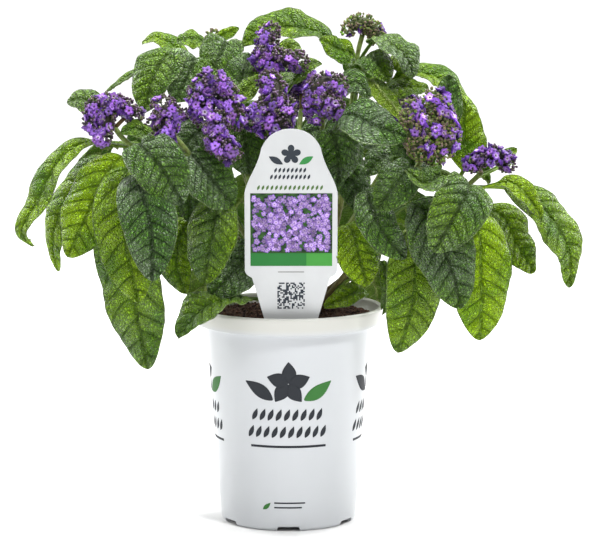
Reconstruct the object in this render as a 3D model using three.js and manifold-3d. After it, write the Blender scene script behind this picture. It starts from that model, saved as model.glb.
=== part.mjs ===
// Potted heliotrope. Millimetres, +Z up, front toward -Y, origin on the ground under the pot's centre.
import * as THREE from "three";
import { mergeVertices } from "three/addons/utils/BufferGeometryUtils.js";
import Module from "manifold-3d";

const wasm = await Module();
wasm.setup();

// Pot: tapered body with a stepped collar and a rolled lip
const POT_HEIGHT = 130;
const LIP_RADIUS = 57;
const COLLAR_HEIGHT = 10.5;
const BODY_TOP_RADIUS = 49.5;
const BODY_FOOT_RADIUS = 40.5;
const WALL = 1.5;
const FLOOR_TOP = 2.4;
const LIP_INSET = 4.2;
const POT_SIDES = 32;
const NOTCH = { width: 14, height: 3, depth: 6, count: 6 };

// Soil: fills the pot to a little under the lip
const SOIL_EDGE_TOP = 123.5;
const SOIL_CROWN = 3;
const SOIL_LUMP = 0.9;
const SOIL_TO_WALL = 0.4;
const SOIL_SIDES = 16;
const HOLE_HEIGHT = 30;

// Label: flat plastic tag with a domed head and a tapered stake
const LABEL = { x: 1.6, y: -45, lean: 9, thickness: 0.9, rise: 119.5, buried: 18 };

// Plant: clearances, stem and leaf sections
const CLEAR = 0.35;
const SHORTEST_EDGE = 0.06;
const MERGE_DISTANCE = 0.01;
const STEM_FOOT_RADIUS = 2.3;
const STEM_TIP_RADIUS = 1.5;
const STEM_SIDES = 6;
const LONG_SPAN = 38;
const LEAF_THICKNESS = 0.74;
const PETIOLE_THICKNESS = 2.1;
const PETIOLE_HALF_WIDTH = 1.3;
const LARGE_LEAF = 18;
const LEAF_CURL = 0.3;
const WAVE_HEIGHT = 0.1;
const WAVES = 2.5;
const BLADE_STATIONS = [0, 0.14, 0.34, 0.58, 0.82, 1];
const SMALL_STATIONS = [0, 0.22, 0.52, 0.82, 1];
const SMALL_LEAF = 12;
const TIP_SHARE = 0.05;
const BLADE_START = 0.85;

// Bloom heads: curled bands of florets on forked stalks
const STALK_RADIUS = 1.4;
const FLORET_PITCH = 10;
const ROW_PITCH = 0.87;
const CENTRE_LEVEL = 1.12;
const RIM_LEVELS = [0.78, 0.68];
const BAND_OVERHANG = 0.6;
const END_SLOPE = 0.88;

const vec = (p) => new THREE.Vector3(...p);

// Each stem: its foot in the soil, the points it passes, its leaves and the bands of its bloom head.
// A leaf row: place along the stem, half width, compass of the upper face (0 front, 90 right, -90 left,
// 180 back), its tilt above level, fold at the midrib, tone (0 dark to 1 bright), points of the midrib.
const STEMS = [
  {
    name: "far_left",
    path: [[-9, -4, 108], [-9, -4, 128], [-20, -9, 157], [-48, -22, 193], [-75, -34, 218], [-94, -40, 232],
      [-101, -39, 240]],
    leaves: [
      [0.90, 11, -35, 40, 25, 0.7, [[-117, -36, 231], [-134, -40, 220], [-146, -42, 197],
        [-155, -42, 181], [-149, -44, 171]]],
      [0.96, 9, -20, 45, 15, 0.3, [[-112, -28, 251], [-121, -26, 256], [-130, -24, 254]]],
      [0.82, 15, -20, 25, 15, 0.35, [[-98, -50, 222], [-112, -54, 199], [-128, -54, 166]]],
      [0.75, 13, -40, 25, 15, 0.85, [[-107, -28, 219], [-126, -28, 204], [-138, -28, 176],
        [-136, -26, 154]]],
      [0.45, 13, -10, 25, 15, 0.15, [[-50, -18, 192], [-64, -22, 184], [-74, -24, 158]]],
      [0.72, 19, -10, 15, 15, 0.55, [[-92, -60, 217], [-94, -68, 182], [-86, -72, 142]]],
      [0.60, 21, -25, 20, 18, 0.65, [[-96, -38, 189], [-90, -46, 141], [-82, -48, 99]]],
    ],
    bloom: {
      radius: 6.5,
      bands: [
        [[-114, -42, 243], [-112, -40, 252], [-103, -39, 255], [-95, -38, 252], [-90, -38, 247]],
        [[-103, -40, 254], [-107, -43, 243], [-108, -44, 235]],
      ],
    },
  },
  {
    name: "front_left",
    path: [[-5, -11, 108], [-5, -11, 128], [-20, -26, 166], [-40, -44, 201], [-57, -54, 226],
      [-65, -56, 236]],
    leaves: [
      [0.95, 8, 0, 50, 20, 0.6, [[-80, -44, 236], [-88, -46, 240], [-97, -48, 238]]],
      [0.90, 17, -10, 35, 20, 0.1, [[-84, -72, 234], [-73, -82, 222], [-60, -80, 200]]],
      [0.76, 17, 0, 20, 16, 0.0, [[-82, -74, 215], [-78, -92, 188], [-77, -96, 158]]],
      [0.82, 18, 15, 35, 22, 0.1, [[-56, -60, 226], [-46, -61, 214], [-32, -55, 196]]],
      [0.63, 9, -10, 20, 15, 0.2, [[-60, -44, 219], [-58, -40, 202], [-58, -36, 184]]],
      [0.50, 16, -15, 20, 15, 0.15, [[-38, -48, 200], [-45, -54, 176], [-49, -54, 150]]],
      [0.42, 12, -20, 25, 15, 0.6, [[-56, -34, 184], [-66, -40, 163], [-60, -44, 143]]],
      [0.18, 17, -30, 55, 30, 0.25, [[-27, -36, 139], [-47, -55, 137], [-64, -67, 121]]],
    ],
    bloom: {
      radius: 8,
      bands: [
        [[-72, -57, 254], [-68, -58, 249], [-70, -60, 241], [-73, -62, 233]],
      ],
    },
  },
  {
    name: "centre_left",
    path: [[-2, -3, 108], [-2, -3, 128], [-10, -14, 168], [-23, -28, 209], [-35, -38, 234],
      [-41, -42, 244]],
    leaves: [
      [0.45, 15, -10, 25, 15, 0.1, [[-20, -34, 170], [-32, -42, 156], [-46, -46, 142]]],
      [0.92, 5, 0, 40, 15, 0.5, [[-33, -32, 252], [-24, -27, 262], [-15, -24, 270]]],
      [0.88, 9, 10, 30, 15, 0.2, [[-29, -14, 261], [-25, -8, 273], [-22, 2, 281]]],
      [0.80, 11, 0, 30, 15, 0.15, [[-28, -30, 240], [-25, -34, 230], [-23, -32, 212]]],
    ],
    bloom: {
      radius: 8.5,
      bands: [
        [[-49, -52, 249], [-51, -49, 262], [-42, -47, 267], [-35, -50, 258], [-31, -53, 247]],
        [[-41, -58, 246], [-42, -62, 236], [-34, -63, 229]],
      ],
    },
  },
  {
    name: "front",
    path: [[3, -9, 108], [3, -9, 128], [-1, -12, 171], [-7, -24, 208], [-11, -31, 233], [-12, -34, 242]],
    leaves: [
      [0.50, 12, -10, 20, 15, 0.05, [[-9, -30, 206], [-13, -42, 188], [-15, -44, 161]]],
      [0.55, 13, 10, 20, 15, 0.05, [[7, -22, 202], [14, -34, 185], [17, -36, 161]]],
    ],
    bloom: {
      radius: 8.5,
      bands: [
        [[-11, -32, 266], [-7, -36, 259], [-12, -41, 252], [-19, -42, 245]],
        [[-12, -42, 240], [-5, -43, 243], [-2, -40, 251]],
      ],
    },
  },
  {
    name: "top",
    path: [[3, 4, 108], [3, 4, 128], [1, 6, 169], [-4, 0, 218], [-8, -8, 255], [-10, -10, 270]],
    leaves: [
      [0.95, 7, 0, 40, 20, 0.6, [[-3, -4, 277], [2, -2, 286], [8, 0, 284]]],
      [0.87, 6, 0, 50, 15, 0.5, [[4, -10, 266], [12, -12, 275], [20, -10, 276]]],
      [0.60, 12, 10, 35, 15, 0.05, [[8, -2, 230], [28, -6, 226], [41, -10, 208]]],
      [0.55, 14, 15, 25, 15, 0.1, [[16, 4, 218], [34, -4, 212], [46, -6, 186]]],
      [0.78, 12, 180, 35, 18, 0.25, [[-6, 18, 262], [-8, 36, 270], [-12, 52, 263]]],
    ],
    bloom: {
      radius: 7.5,
      bands: [
        [[-11, -8, 294], [-13, -12, 284], [-16, -14, 277]],
        [[-14, -13, 281], [-4, -17, 278], [6, -17, 277]],
      ],
    },
  },
  {
    name: "front_right",
    path: [[6, -2.5, 108], [6, -2.5, 128], [12, -8, 165], [18, -20, 208], [20, -28, 239], [20, -31, 248]],
    leaves: [
      [0.73, 11, 10, 15, 15, 0.1, [[23, -40, 236], [29, -46, 226], [29, -45, 208]]],
      [0.82, 15, 15, 35, 20, 0.05, [[33, -50, 248], [50, -66, 243], [68, -64, 237]]],
      [0.90, 11, 20, 45, 20, 0.1, [[31, -22, 259], [40, -20, 265], [48, -20, 256]]],
      [0.35, 15, 15, 20, 15, 0.85, [[34, -38, 182], [42, -48, 163], [46, -48, 148]]],
    ],
    bloom: {
      radius: 8,
      bands: [
        [[16, -38, 249], [15, -38, 259], [21, -37, 266], [28, -35, 265]],
        [[20, -43, 255], [27, -40, 251]],
      ],
    },
  },
  {
    name: "back_right_top",
    path: [[10, 5, 108], [10, 5, 128], [25, 15, 162], [35, 26, 209], [39, 34, 252], [42, 38, 277],
      [45, 38, 290]],
    leaves: [
      [0.86, 15, 10, 50, 35, 0.6, [[26, 32, 286], [8, 24, 294], [-12, 16, 294], [-27, 8, 285]]],
      [0.90, 15, 40, 45, 25, 0.3, [[52, 24, 287], [62, 12, 285], [70, 4, 278], [74, 2, 266]]],
      [0.76, 14, 50, 45, 32, 0.7, [[66, 26, 264], [87, 28, 265], [102, 26, 252], [115, 22, 237]]],
      [0.66, 8, 20, 35, 15, 0.1, [[44, 18, 270], [51, 8, 274], [60, 0, 262]]],
      [0.60, 8, -150, -30, 20, 0.9, [[46, 10, 262], [57, -6, 256], [69, -12, 241]]],
      [0.66, 9, 20, 60, 15, 0.1, [[60, 14, 256], [72, 10, 259], [84, 8, 260]]],
      [0.55, 14, 15, 25, 15, 0.1, [[50, 14, 226], [68, 4, 224], [82, 2, 200]]],
      [0.80, 13, 170, 35, 18, 0.3, [[44, 54, 270], [46, 76, 268], [48, 94, 250]]],
      [0.82, 9, 20, 40, 15, 0.25, [[60, 34, 270], [65, 30, 278], [70, 24, 270]]],
      [0.84, 9, 0, 35, 15, 0.8, [[39, 26, 278], [30, 20, 282], [19, 14, 289]]],
    ],
    bloom: {
      radius: 6,
      bands: [
        [[37, 36, 294], [44, 36, 298], [50, 36, 295], [54, 36, 289]],
      ],
    },
  },
  {
    name: "right",
    path: [[13, -9, 108], [13, -9, 128], [22, -17, 136], [38, -26, 158], [56, -38, 189], [72, -46, 214],
      [81, -47, 227]],
    leaves: [
      [0.69, 12, 10, 25, 15, 0.1, [[46, -50, 204], [53, -62, 184], [68, -60, 166]]],
      [0.78, 14, -20, 25, 18, 0.15, [[71, -58, 219], [62, -66, 210], [51, -64, 195]]],
      [0.92, 10, -10, 40, 35, 0.3, [[87, -64, 216], [77, -72, 211], [67, -72, 219]]],
      [0.62, 20, 15, 20, 18, 0.15, [[74, -52, 196], [91, -64, 168], [100, -62, 137]]],
      [0.40, 18, 10, -20, 15, 0.95, [[70, -42, 178], [73, -52, 143], [64, -50, 109]]],
      [0.94, 10, 0, 20, 20, 0.1, [[91, -22, 240], [94, -14, 255], [95, -10, 269]]],
      [0.26, 4, 20, 30, 10, 0.4, [[52, -38, 161], [58, -40, 147], [55, -40, 133]]],
      [0.74, 9, 0, 30, 15, 0.2, [[61, -30, 221], [53, -34, 221], [46, -36, 212]]],
    ],
    bloom: {
      radius: 8,
      bands: [
        [[71, -54, 251], [72, -58, 240], [76, -58, 229]],
        [[85, -45, 257], [91, -49, 245], [92, -53, 233], [85, -55, 226]],
        [[72, -55, 245], [82, -53, 239], [91, -50, 239]],
      ],
    },
  },
  {
    name: "far_right",
    path: [[13, 0, 108], [13, 0, 128], [40, -6, 152], [77, -15, 181], [103, -21, 202], [114, -22, 212]],
    leaves: [
      [0.78, 19, 10, 20, 28, 0.3, [[104, -58, 208], [96, -75, 194], [83, -78, 172]]],
      [0.80, 11, 10, 10, 18, 0.45, [[105, -14, 216], [104, -8, 234], [104, -6, 253]]],
      [0.97, 5, 0, 45, 15, 0.6, [[126, -10, 215], [131, -8, 222], [136, -6, 225]]],
      [0.62, 20, 15, 25, 18, 0.9, [[107, -46, 185], [112, -56, 150], [112, -54, 116]]],
      [0.70, 14, 30, 30, 20, 0.45, [[122, -20, 188], [135, -22, 169], [146, -20, 152]]],
      [0.92, 16, 35, 35, 20, 0.6, [[131, -30, 203], [149, -38, 192], [163, -40, 170], [165, -40, 146]]],
      [0.85, 8, 20, 30, 30, 0.8, [[126, -40, 208], [137, -46, 203], [148, -46, 188]]],
      [0.14, 8, -10, 40, 20, 0.8, [[42, -24, 144], [33, -30, 139], [21, -36, 134]]],
    ],
    bloom: {
      radius: 6.5,
      bands: [
        [[108, -28, 218], [116, -28, 222], [123, -28, 223], [129, -28, 218]],
      ],
    },
  },
  {
    name: "back_left_top",
    path: [[-4, 10, 108], [-4, 10, 128], [-12, 20, 164], [-29, 30, 215], [-41, 36, 258], [-46, 38, 280]],
    leaves: [
      [0.84, 16, -20, 35, 20, 0.15, [[-66, 14, 280], [-79, -4, 269], [-85, -12, 247]]],
      [0.79, 13, 10, 35, 20, 0.0, [[-54, 10, 276], [-58, -2, 270], [-66, -12, 256]]],
      [0.91, 15, 0, 40, 30, 0.1, [[-37, 24, 286], [-41, 10, 278], [-46, 2, 265]]],
      [0.95, 7, -20, 55, 15, 0.3, [[-51, 30, 285], [-58, 28, 288], [-67, 26, 287]]],
      [0.87, 8, -10, 60, 20, 0.5, [[-66, 54, 279], [-80, 57, 287], [-90, 59, 284]]],
      [0.70, 6, -60, 60, 30, 0.5, [[-75, 26, 276], [-92, 20, 268], [-110, 14, 257]]],
      [0.55, 14, -15, 25, 15, 0.1, [[-44, 20, 232], [-60, 10, 228], [-72, 6, 204]]],
      [0.96, 4, 0, 30, 10, 0.9, [[-42, 42, 287], [-36, 43, 291], [-30, 43, 294]]],
      [0.75, 14, -170, 35, 18, 0.25, [[-46, 56, 268], [-54, 78, 263], [-60, 96, 243]]],
    ],
    bloom: {
      radius: 4,
      bands: [
        [[-47, 38, 285], [-46, 38, 290]],
      ],
    },
  },
  {
    name: "back",
    path: [[2, 11, 108], [2, 11, 128], [4, 28, 175], [6, 52, 222], [8, 66, 242]],
    leaves: [
      [0.95, 15, 180, 25, 18, 0.25, [[0, 84, 233], [-6, 112, 226], [-8, 124, 196]]],
      [0.90, 15, 150, 25, 20, 0.3, [[22, 76, 246], [38, 100, 236], [48, 114, 208]]],
      [0.88, 14, -150, 25, 16, 0.2, [[-12, 76, 244], [-32, 98, 236], [-46, 110, 212]]],
      [0.70, 18, 175, 20, 16, 0.35, [[8, 80, 218], [14, 104, 196], [12, 110, 156]]],
      [0.60, 17, -160, 20, 18, 0.4, [[-14, 68, 200], [-34, 94, 176], [-40, 98, 138]]],
      [0.55, 16, 150, 20, 16, 0.3, [[24, 60, 196], [44, 84, 174], [52, 90, 136]]],
      [0.35, 14, 180, 20, 15, 0.7, [[4, 56, 168], [2, 84, 146], [-2, 90, 116]]],
    ],
    bloom: {
      radius: 8,
      bands: [
        [[-6, 68, 252], [0, 66, 261], [10, 68, 262], [18, 72, 254]],
        [[8, 70, 258], [8, 80, 252], [6, 86, 243]],
      ],
    },
  },
  {
    name: "back_right",
    path: [[9, 12, 108], [9, 12, 128], [30, 26, 162], [56, 42, 204], [70, 52, 228]],
    leaves: [
      [0.98, 15, 120, 25, 20, 0.5, [[84, 60, 223], [108, 76, 221], [126, 86, 194]]],
      [0.88, 14, 165, 25, 16, 0.3, [[72, 70, 234], [80, 98, 222], [82, 110, 192]]],
      [0.78, 17, 130, 20, 18, 0.35, [[84, 56, 206], [110, 74, 186], [116, 82, 150]]],
      [0.65, 16, 160, 20, 16, 0.3, [[64, 62, 196], [76, 86, 172], [80, 92, 134]]],
      [0.50, 15, 110, 20, 15, 0.8, [[66, 36, 176], [94, 46, 158], [106, 50, 124]]],
      [0.35, 14, 150, 20, 15, 0.5, [[36, 44, 156], [52, 68, 138], [58, 74, 112]]],
    ],
    bloom: {
      radius: 8,
      bands: [
        [[62, 52, 240], [68, 54, 247], [78, 56, 245], [84, 58, 240]],
      ],
    },
  },
  {
    name: "back_left",
    path: [[-10, 4, 108], [-10, 4, 128], [-28, 22, 162], [-58, 38, 202], [-73, 46, 222]],
    leaves: [
      [0.98, 16, -120, 25, 20, 0.45, [[-90, 52, 221], [-116, 66, 217], [-130, 72, 190]]],
      [0.88, 14, -165, 25, 16, 0.3, [[-78, 64, 230], [-88, 92, 218], [-92, 104, 190]]],
      [0.78, 17, -135, 20, 18, 0.25, [[-84, 54, 202], [-110, 74, 182], [-116, 80, 146]]],
      [0.60, 16, -165, 20, 16, 0.4, [[-58, 58, 190], [-68, 84, 170], [-72, 90, 132]]],
      [0.50, 15, -100, 20, 15, 0.75, [[-64, 30, 176], [-94, 36, 158], [-110, 38, 124]]],
      [0.35, 14, -155, 20, 15, 0.4, [[-34, 42, 156], [-50, 66, 136], [-54, 72, 110]]],
    ],
    bloom: {
      radius: 7.5,
      bands: [
        [[-82, 46, 230], [-78, 48, 238], [-68, 50, 240], [-60, 52, 232]],
      ],
    },
  },
];

// Solids

// Turns points and triangles into a solid, facing out
function solid(points, triangles) {
  let volume = 0;
  for (const [a, b, c] of triangles) {
    volume += points[a].dot(points[b].clone().cross(points[c]));
  }
  const faces = volume < 0 ? triangles.map(([a, b, c]) => [a, c, b]) : triangles;
  return new wasm.Manifold(new wasm.Mesh({
    numProp: 3,
    vertProperties: new Float32Array(points.flatMap((p) => p.toArray())),
    triVerts: new Uint32Array(faces.flat()),
  }));
}

// A skin over rings of equal, even point count: the first half of a ring lies over the second half,
// and both are split along the same diagonals, so a thin waved blade never crosses itself
function loft(rings) {
  const n = rings[0].length;
  const half = n / 2;
  const last = (rings.length - 1) * n;
  const triangles = [];
  for (let i = 0; i < rings.length - 1; i += 1) {
    for (let j = 0; j < n; j += 1) {
      const a = i * n + j;
      const b = i * n + ((j + 1) % n);
      const [c, d] = [b + n, a + n];
      triangles.push(...(j < half ? [[a, b, c], [a, c, d]] : [[a, b, d], [b, c, d]]));
    }
  }
  for (let j = 0; j < half - 1; j += 1) {
    const [a, b, c, d] = [j, j + 1, n - 2 - j, n - 1 - j];
    triangles.push([a, d, c], [a, c, b]);
    triangles.push([last + a, last + b, last + c], [last + a, last + c, last + d]);
  }
  return solid(rings.flat(), triangles);
}

// A closed profile of [radius, height] turned about Z, with a point on the axis at each end
function turned(profile, sides, shape = (p) => p) {
  const points = [vec([0, 0, profile[0][1]]), vec([0, 0, profile.at(-1)[1]])];
  const triangles = [];
  const rows = profile.slice(1, -1);
  rows.forEach(([radius, z], i) => {
    for (let j = 0; j < sides; j += 1) {
      const angle = (2 * Math.PI * j) / sides;
      points.push(shape(vec([radius * Math.cos(angle), radius * Math.sin(angle), z]), i));
      const a = 2 + i * sides + j;
      const b = 2 + i * sides + ((j + 1) % sides);
      if (i === 0) triangles.push([0, b, a]);
      if (i < rows.length - 1) triangles.push([a, b, b + sides], [a, b + sides, a + sides]);
      else triangles.push([a, b, 1]);
    }
  });
  return solid(points, triangles);
}

// A tube with rings at the given places along a curve
function tube(curve, radiusAt, sides, stations) {
  let normal = vec([0.3, 1, 0.1]);
  const rings = stations.map((t) => {
    const centre = curve.getPoint(t);
    const tangent = curve.getTangent(t);
    normal = normal.clone().addScaledVector(tangent, -normal.dot(tangent)).normalize();
    const binormal = tangent.cross(normal);
    return Array.from({ length: sides }, (_, j) => {
      const angle = (2 * Math.PI * j) / sides;
      return centre.clone()
        .addScaledVector(normal, radiusAt(t) * Math.cos(angle))
        .addScaledVector(binormal, radiusAt(t) * Math.sin(angle));
    });
  });
  return loft(rings);
}

const curveThrough = (points) => new THREE.CatmullRomCurve3(points, false, "catmullrom", 0.5);
const union = (solids) => wasm.Manifold.union(solids);

function geometryOf(body) {
  const { vertProperties, triVerts } = body.getMesh();
  const geometry = new THREE.BufferGeometry();
  geometry.setAttribute("position", new THREE.Float32BufferAttribute(vertProperties, 3));
  geometry.setIndex(Array.from(triVerts));
  return geometry;
}

// The largest closed body of a solid, with close vertices made one: a scrap that a cut leaves loose and
// a pocket between two leaves are dropped
function mainBody(body) {
  const merged = mergeVertices(geometryOf(body.simplify(SHORTEST_EDGE)), MERGE_DISTANCE);
  const settled = new wasm.Manifold(new wasm.Mesh({
    numProp: 3,
    vertProperties: merged.getAttribute("position").array,
    triVerts: new Uint32Array(merged.index.array),
  }));
  return settled.decompose().sort((a, b) => b.volume() - a.volume())[0];
}

// Pot and soil

// The pot's wall from the floor's underside up the outside, over the lip and down the inside
function pot() {
  const under = POT_HEIGHT - COLLAR_HEIGHT;
  const inside = BODY_TOP_RADIUS - WALL;
  const profile = [
    [0, 0], [BODY_FOOT_RADIUS - 3, 0], [BODY_FOOT_RADIUS - 0.9, 0.8], [BODY_FOOT_RADIUS, 3],
    [BODY_TOP_RADIUS, under - 1.5], [LIP_RADIUS - 2.2, under], [LIP_RADIUS - 1.4, under + 1],
    [LIP_RADIUS, POT_HEIGHT - 2], [LIP_RADIUS - 0.6, POT_HEIGHT - 0.5], [LIP_RADIUS - 1.6, POT_HEIGHT],
    [LIP_RADIUS - 2.8, POT_HEIGHT - 0.8], [LIP_RADIUS - LIP_INSET, under + 1.6], [inside, under + 0.2],
    [BODY_FOOT_RADIUS - WALL, FLOOR_TOP], [0, FLOOR_TOP],
  ];
  const notches = Array.from({ length: NOTCH.count }, (_, i) => {
    const box = new THREE.BoxGeometry(NOTCH.width, NOTCH.depth, NOTCH.height * 2);
    box.translate(0, -BODY_FOOT_RADIUS, 0);
    box.rotateZ((2 * Math.PI * i) / NOTCH.count);
    return fromGeometry(box);
  });
  return turned(profile, POT_SIDES).subtract(union(notches));
}

// A closed geometry's corners merged by position, as a solid
function fromGeometry(geometry) {
  const position = geometry.getAttribute("position");
  const points = [];
  const places = new Map();
  const cornerOf = (i) => {
    const p = new THREE.Vector3().fromBufferAttribute(position, i);
    const key = p.toArray().map((v) => v.toFixed(4)).join();
    if (!places.has(key)) places.set(key, points.push(p) - 1);
    return places.get(key);
  };
  const index = geometry.index ? Array.from(geometry.index.array) : [...Array(position.count).keys()];
  const triangles = [];
  for (let i = 0; i < index.length; i += 3) {
    triangles.push([cornerOf(index[i]), cornerOf(index[i + 1]), cornerOf(index[i + 2])]);
  }
  return solid(points, triangles);
}

// The soil from its underside up the wall and over its crumbed top
function soil() {
  const foot = FLOOR_TOP + 0.3;
  const under = POT_HEIGHT - COLLAR_HEIGHT;
  const inner = BODY_TOP_RADIUS - WALL - SOIL_TO_WALL - 0.3;
  const outer = LIP_RADIUS - LIP_INSET - SOIL_TO_WALL;
  const profile = [
    [0, foot], [BODY_FOOT_RADIUS - WALL - SOIL_TO_WALL, foot], [inner, under - 0.4], [inner, under + 0.7],
    [outer, under + 2.2], [outer, SOIL_EDGE_TOP],
    [42, SOIL_EDGE_TOP + 0.5], [28, SOIL_EDGE_TOP + 2], [14, SOIL_EDGE_TOP + 2.8],
    [0, SOIL_EDGE_TOP + SOIL_CROWN],
  ];
  const firstCrumbRow = 5;
  const crumbed = (p, row) => {
    if (row < firstCrumbRow) return p;
    p.z += SOIL_LUMP * Math.sin(p.x * 0.41 + row) * Math.cos(p.y * 0.53 - row);
    return p;
  };
  return turned(profile, SOIL_SIDES, crumbed);
}

// A plain hole that a stem's foot stands in
function footHole(stem) {
  const [x, y, foot] = stem.path[0];
  const radius = STEM_FOOT_RADIUS + 1;
  const hole = new THREE.CylinderGeometry(radius, radius, HOLE_HEIGHT, STEM_SIDES);
  hole.rotateX(Math.PI / 2);
  hole.translate(x, y, foot - 0.3 + HOLE_HEIGHT / 2);
  return fromGeometry(hole);
}

// Label

// The label's plate: its stake, shoulders, straight sides and domed head; grow widens it all round
function label(grow = 0) {
  const sheet = new THREE.Shape();
  sheet.moveTo(-8, -LABEL.buried);
  sheet.lineTo(8, -LABEL.buried);
  sheet.lineTo(15.6, 5);
  sheet.lineTo(22.8, 30.5);
  sheet.quadraticCurveTo(26.9, 32, 26.9, 35.5);
  sheet.lineTo(26.9, 81.5);
  sheet.bezierCurveTo(25.5, 90, 19, 97, 17.2, 108);
  sheet.bezierCurveTo(13.5, 116.5, 7, LABEL.rise, 0, LABEL.rise);
  sheet.bezierCurveTo(-7, LABEL.rise, -13.5, 116.5, -17.2, 108);
  sheet.bezierCurveTo(-19, 97, -25.5, 90, -26.9, 81.5);
  sheet.lineTo(-26.9, 35.5);
  sheet.quadraticCurveTo(-26.9, 32, -22.8, 30.5);
  sheet.lineTo(-15.6, 5);
  sheet.closePath();
  const plate = new THREE.ExtrudeGeometry(sheet, {
    depth: LABEL.thickness + 2 * grow, bevelEnabled: grow > 0, bevelThickness: 0.01, bevelSize: grow,
    bevelSegments: 1, curveSegments: 4,
  });
  plate.translate(0, 0, -LABEL.thickness / 2 - grow);
  plate.rotateX(Math.PI / 2 + THREE.MathUtils.degToRad(LABEL.lean));
  plate.translate(LABEL.x, LABEL.y, SOIL_EDGE_TOP);
  return fromGeometry(plate);
}

// Plant

const stemCurve = (stem) => curveThrough(stem.path.map(vec));

// A stem's tube has a ring at each point of its path, and one between two that lie far apart
function stemBody(stem, grow) {
  const points = stem.path.map(vec);
  const spans = points.length - 1;
  const stations = [0];
  for (let i = 1; i <= spans; i += 1) {
    if (i > 1 && points[i].distanceTo(points[i - 1]) > LONG_SPAN) stations.push((i - 0.5) / spans);
    stations.push(i / spans);
  }
  const radiusAt = (t) => THREE.MathUtils.lerp(STEM_FOOT_RADIUS, STEM_TIP_RADIUS, t) + grow;
  return tube(stemCurve(stem), radiusAt, STEM_SIDES, stations);
}

// Half width along a blade as a share of its widest: oval, widest before the middle, pointed
const outline = (u) => Math.sin(Math.PI * Math.min(u, 1) ** 0.88) ** 0.66;

// A blade: a midrib curve from inside the stem, with sections that fold at the midrib, curl down to
// the margins and wave along them
function leafBody(stem, row, order, grow) {
  const [place, halfWidth, facing, tilt, fold, , midribPoints] = row;
  const root = stemCurve(stem).getPointAt(place);
  const points = [root, ...midribPoints.map(vec)];
  const midrib = curveThrough(points);
  const lengths = midrib.getLengths();
  const firstPointLength = lengths[Math.round((lengths.length - 1) / (points.length - 1))];
  const bladeStart = (BLADE_START * firstPointLength) / lengths.at(-1);
  const azimuth = THREE.MathUtils.degToRad(facing);
  const lift = THREE.MathUtils.degToRad(tilt);
  const folded = THREE.MathUtils.degToRad(fold);
  const level = Math.cos(lift);
  const face = vec([Math.sin(azimuth) * level, -Math.cos(azimuth) * level, Math.sin(lift)]);
  const chord = points.at(-1).clone().sub(points[1]);
  const side = face.clone().cross(chord).normalize();
  const across = halfWidth >= LARGE_LEAF ? [-1, -0.5, 0, 0.5, 1] : [-1, 0, 1];
  const bladeStations = halfWidth < SMALL_LEAF ? SMALL_STATIONS : BLADE_STATIONS;
  const stations = [[0, -1], ...bladeStations.map((u) => [bladeStart + (1 - bladeStart) * u, u])];
  const rings = stations.map(([t, u]) => {
    const centre = midrib.getPointAt(t);
    const tangent = midrib.getTangentAt(t);
    const s = side.clone().addScaledVector(tangent, -side.dot(tangent)).normalize();
    const normal = tangent.clone().cross(s);
    const petiole = u <= 0;
    const tip = TIP_SHARE * halfWidth;
    const width = (petiole ? PETIOLE_HALF_WIDTH : Math.max(halfWidth * outline(u), tip)) + grow;
    const thickness = (petiole ? PETIOLE_THICKNESS : LEAF_THICKNESS) / 2 + grow;
    const section = (v, offset) => {
      const bend = petiole ? 0 : width * (Math.sin(folded) * Math.abs(v) - LEAF_CURL * v * v);
      const phase = 1.7 * order + (v > 0 ? 1.9 : 0);
      const wave = petiole ? 0 : WAVE_HEIGHT * width * v * v * Math.sin(2 * Math.PI * WAVES * u + phase);
      return centre.clone()
        .addScaledVector(s, width * v * (petiole ? 1 : Math.cos(folded)))
        .addScaledVector(normal, bend + wave + offset);
    };
    const upper = across.map((v) => section(v, thickness));
    const lower = across.toReversed().map((v) => section(v, -thickness));
    return [...upper, ...lower];
  });
  return loft(rings);
}

function leafyStem(stem, grow = 0) {
  const first = STEMS.slice(0, STEMS.indexOf(stem)).reduce((sum, { leaves }) => sum + leaves.length, 0);
  const leaves = stem.leaves.map((row, i) => leafBody(stem, row, first + i, grow));
  return union([stemBody(stem, grow), ...leaves]);
}

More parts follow.
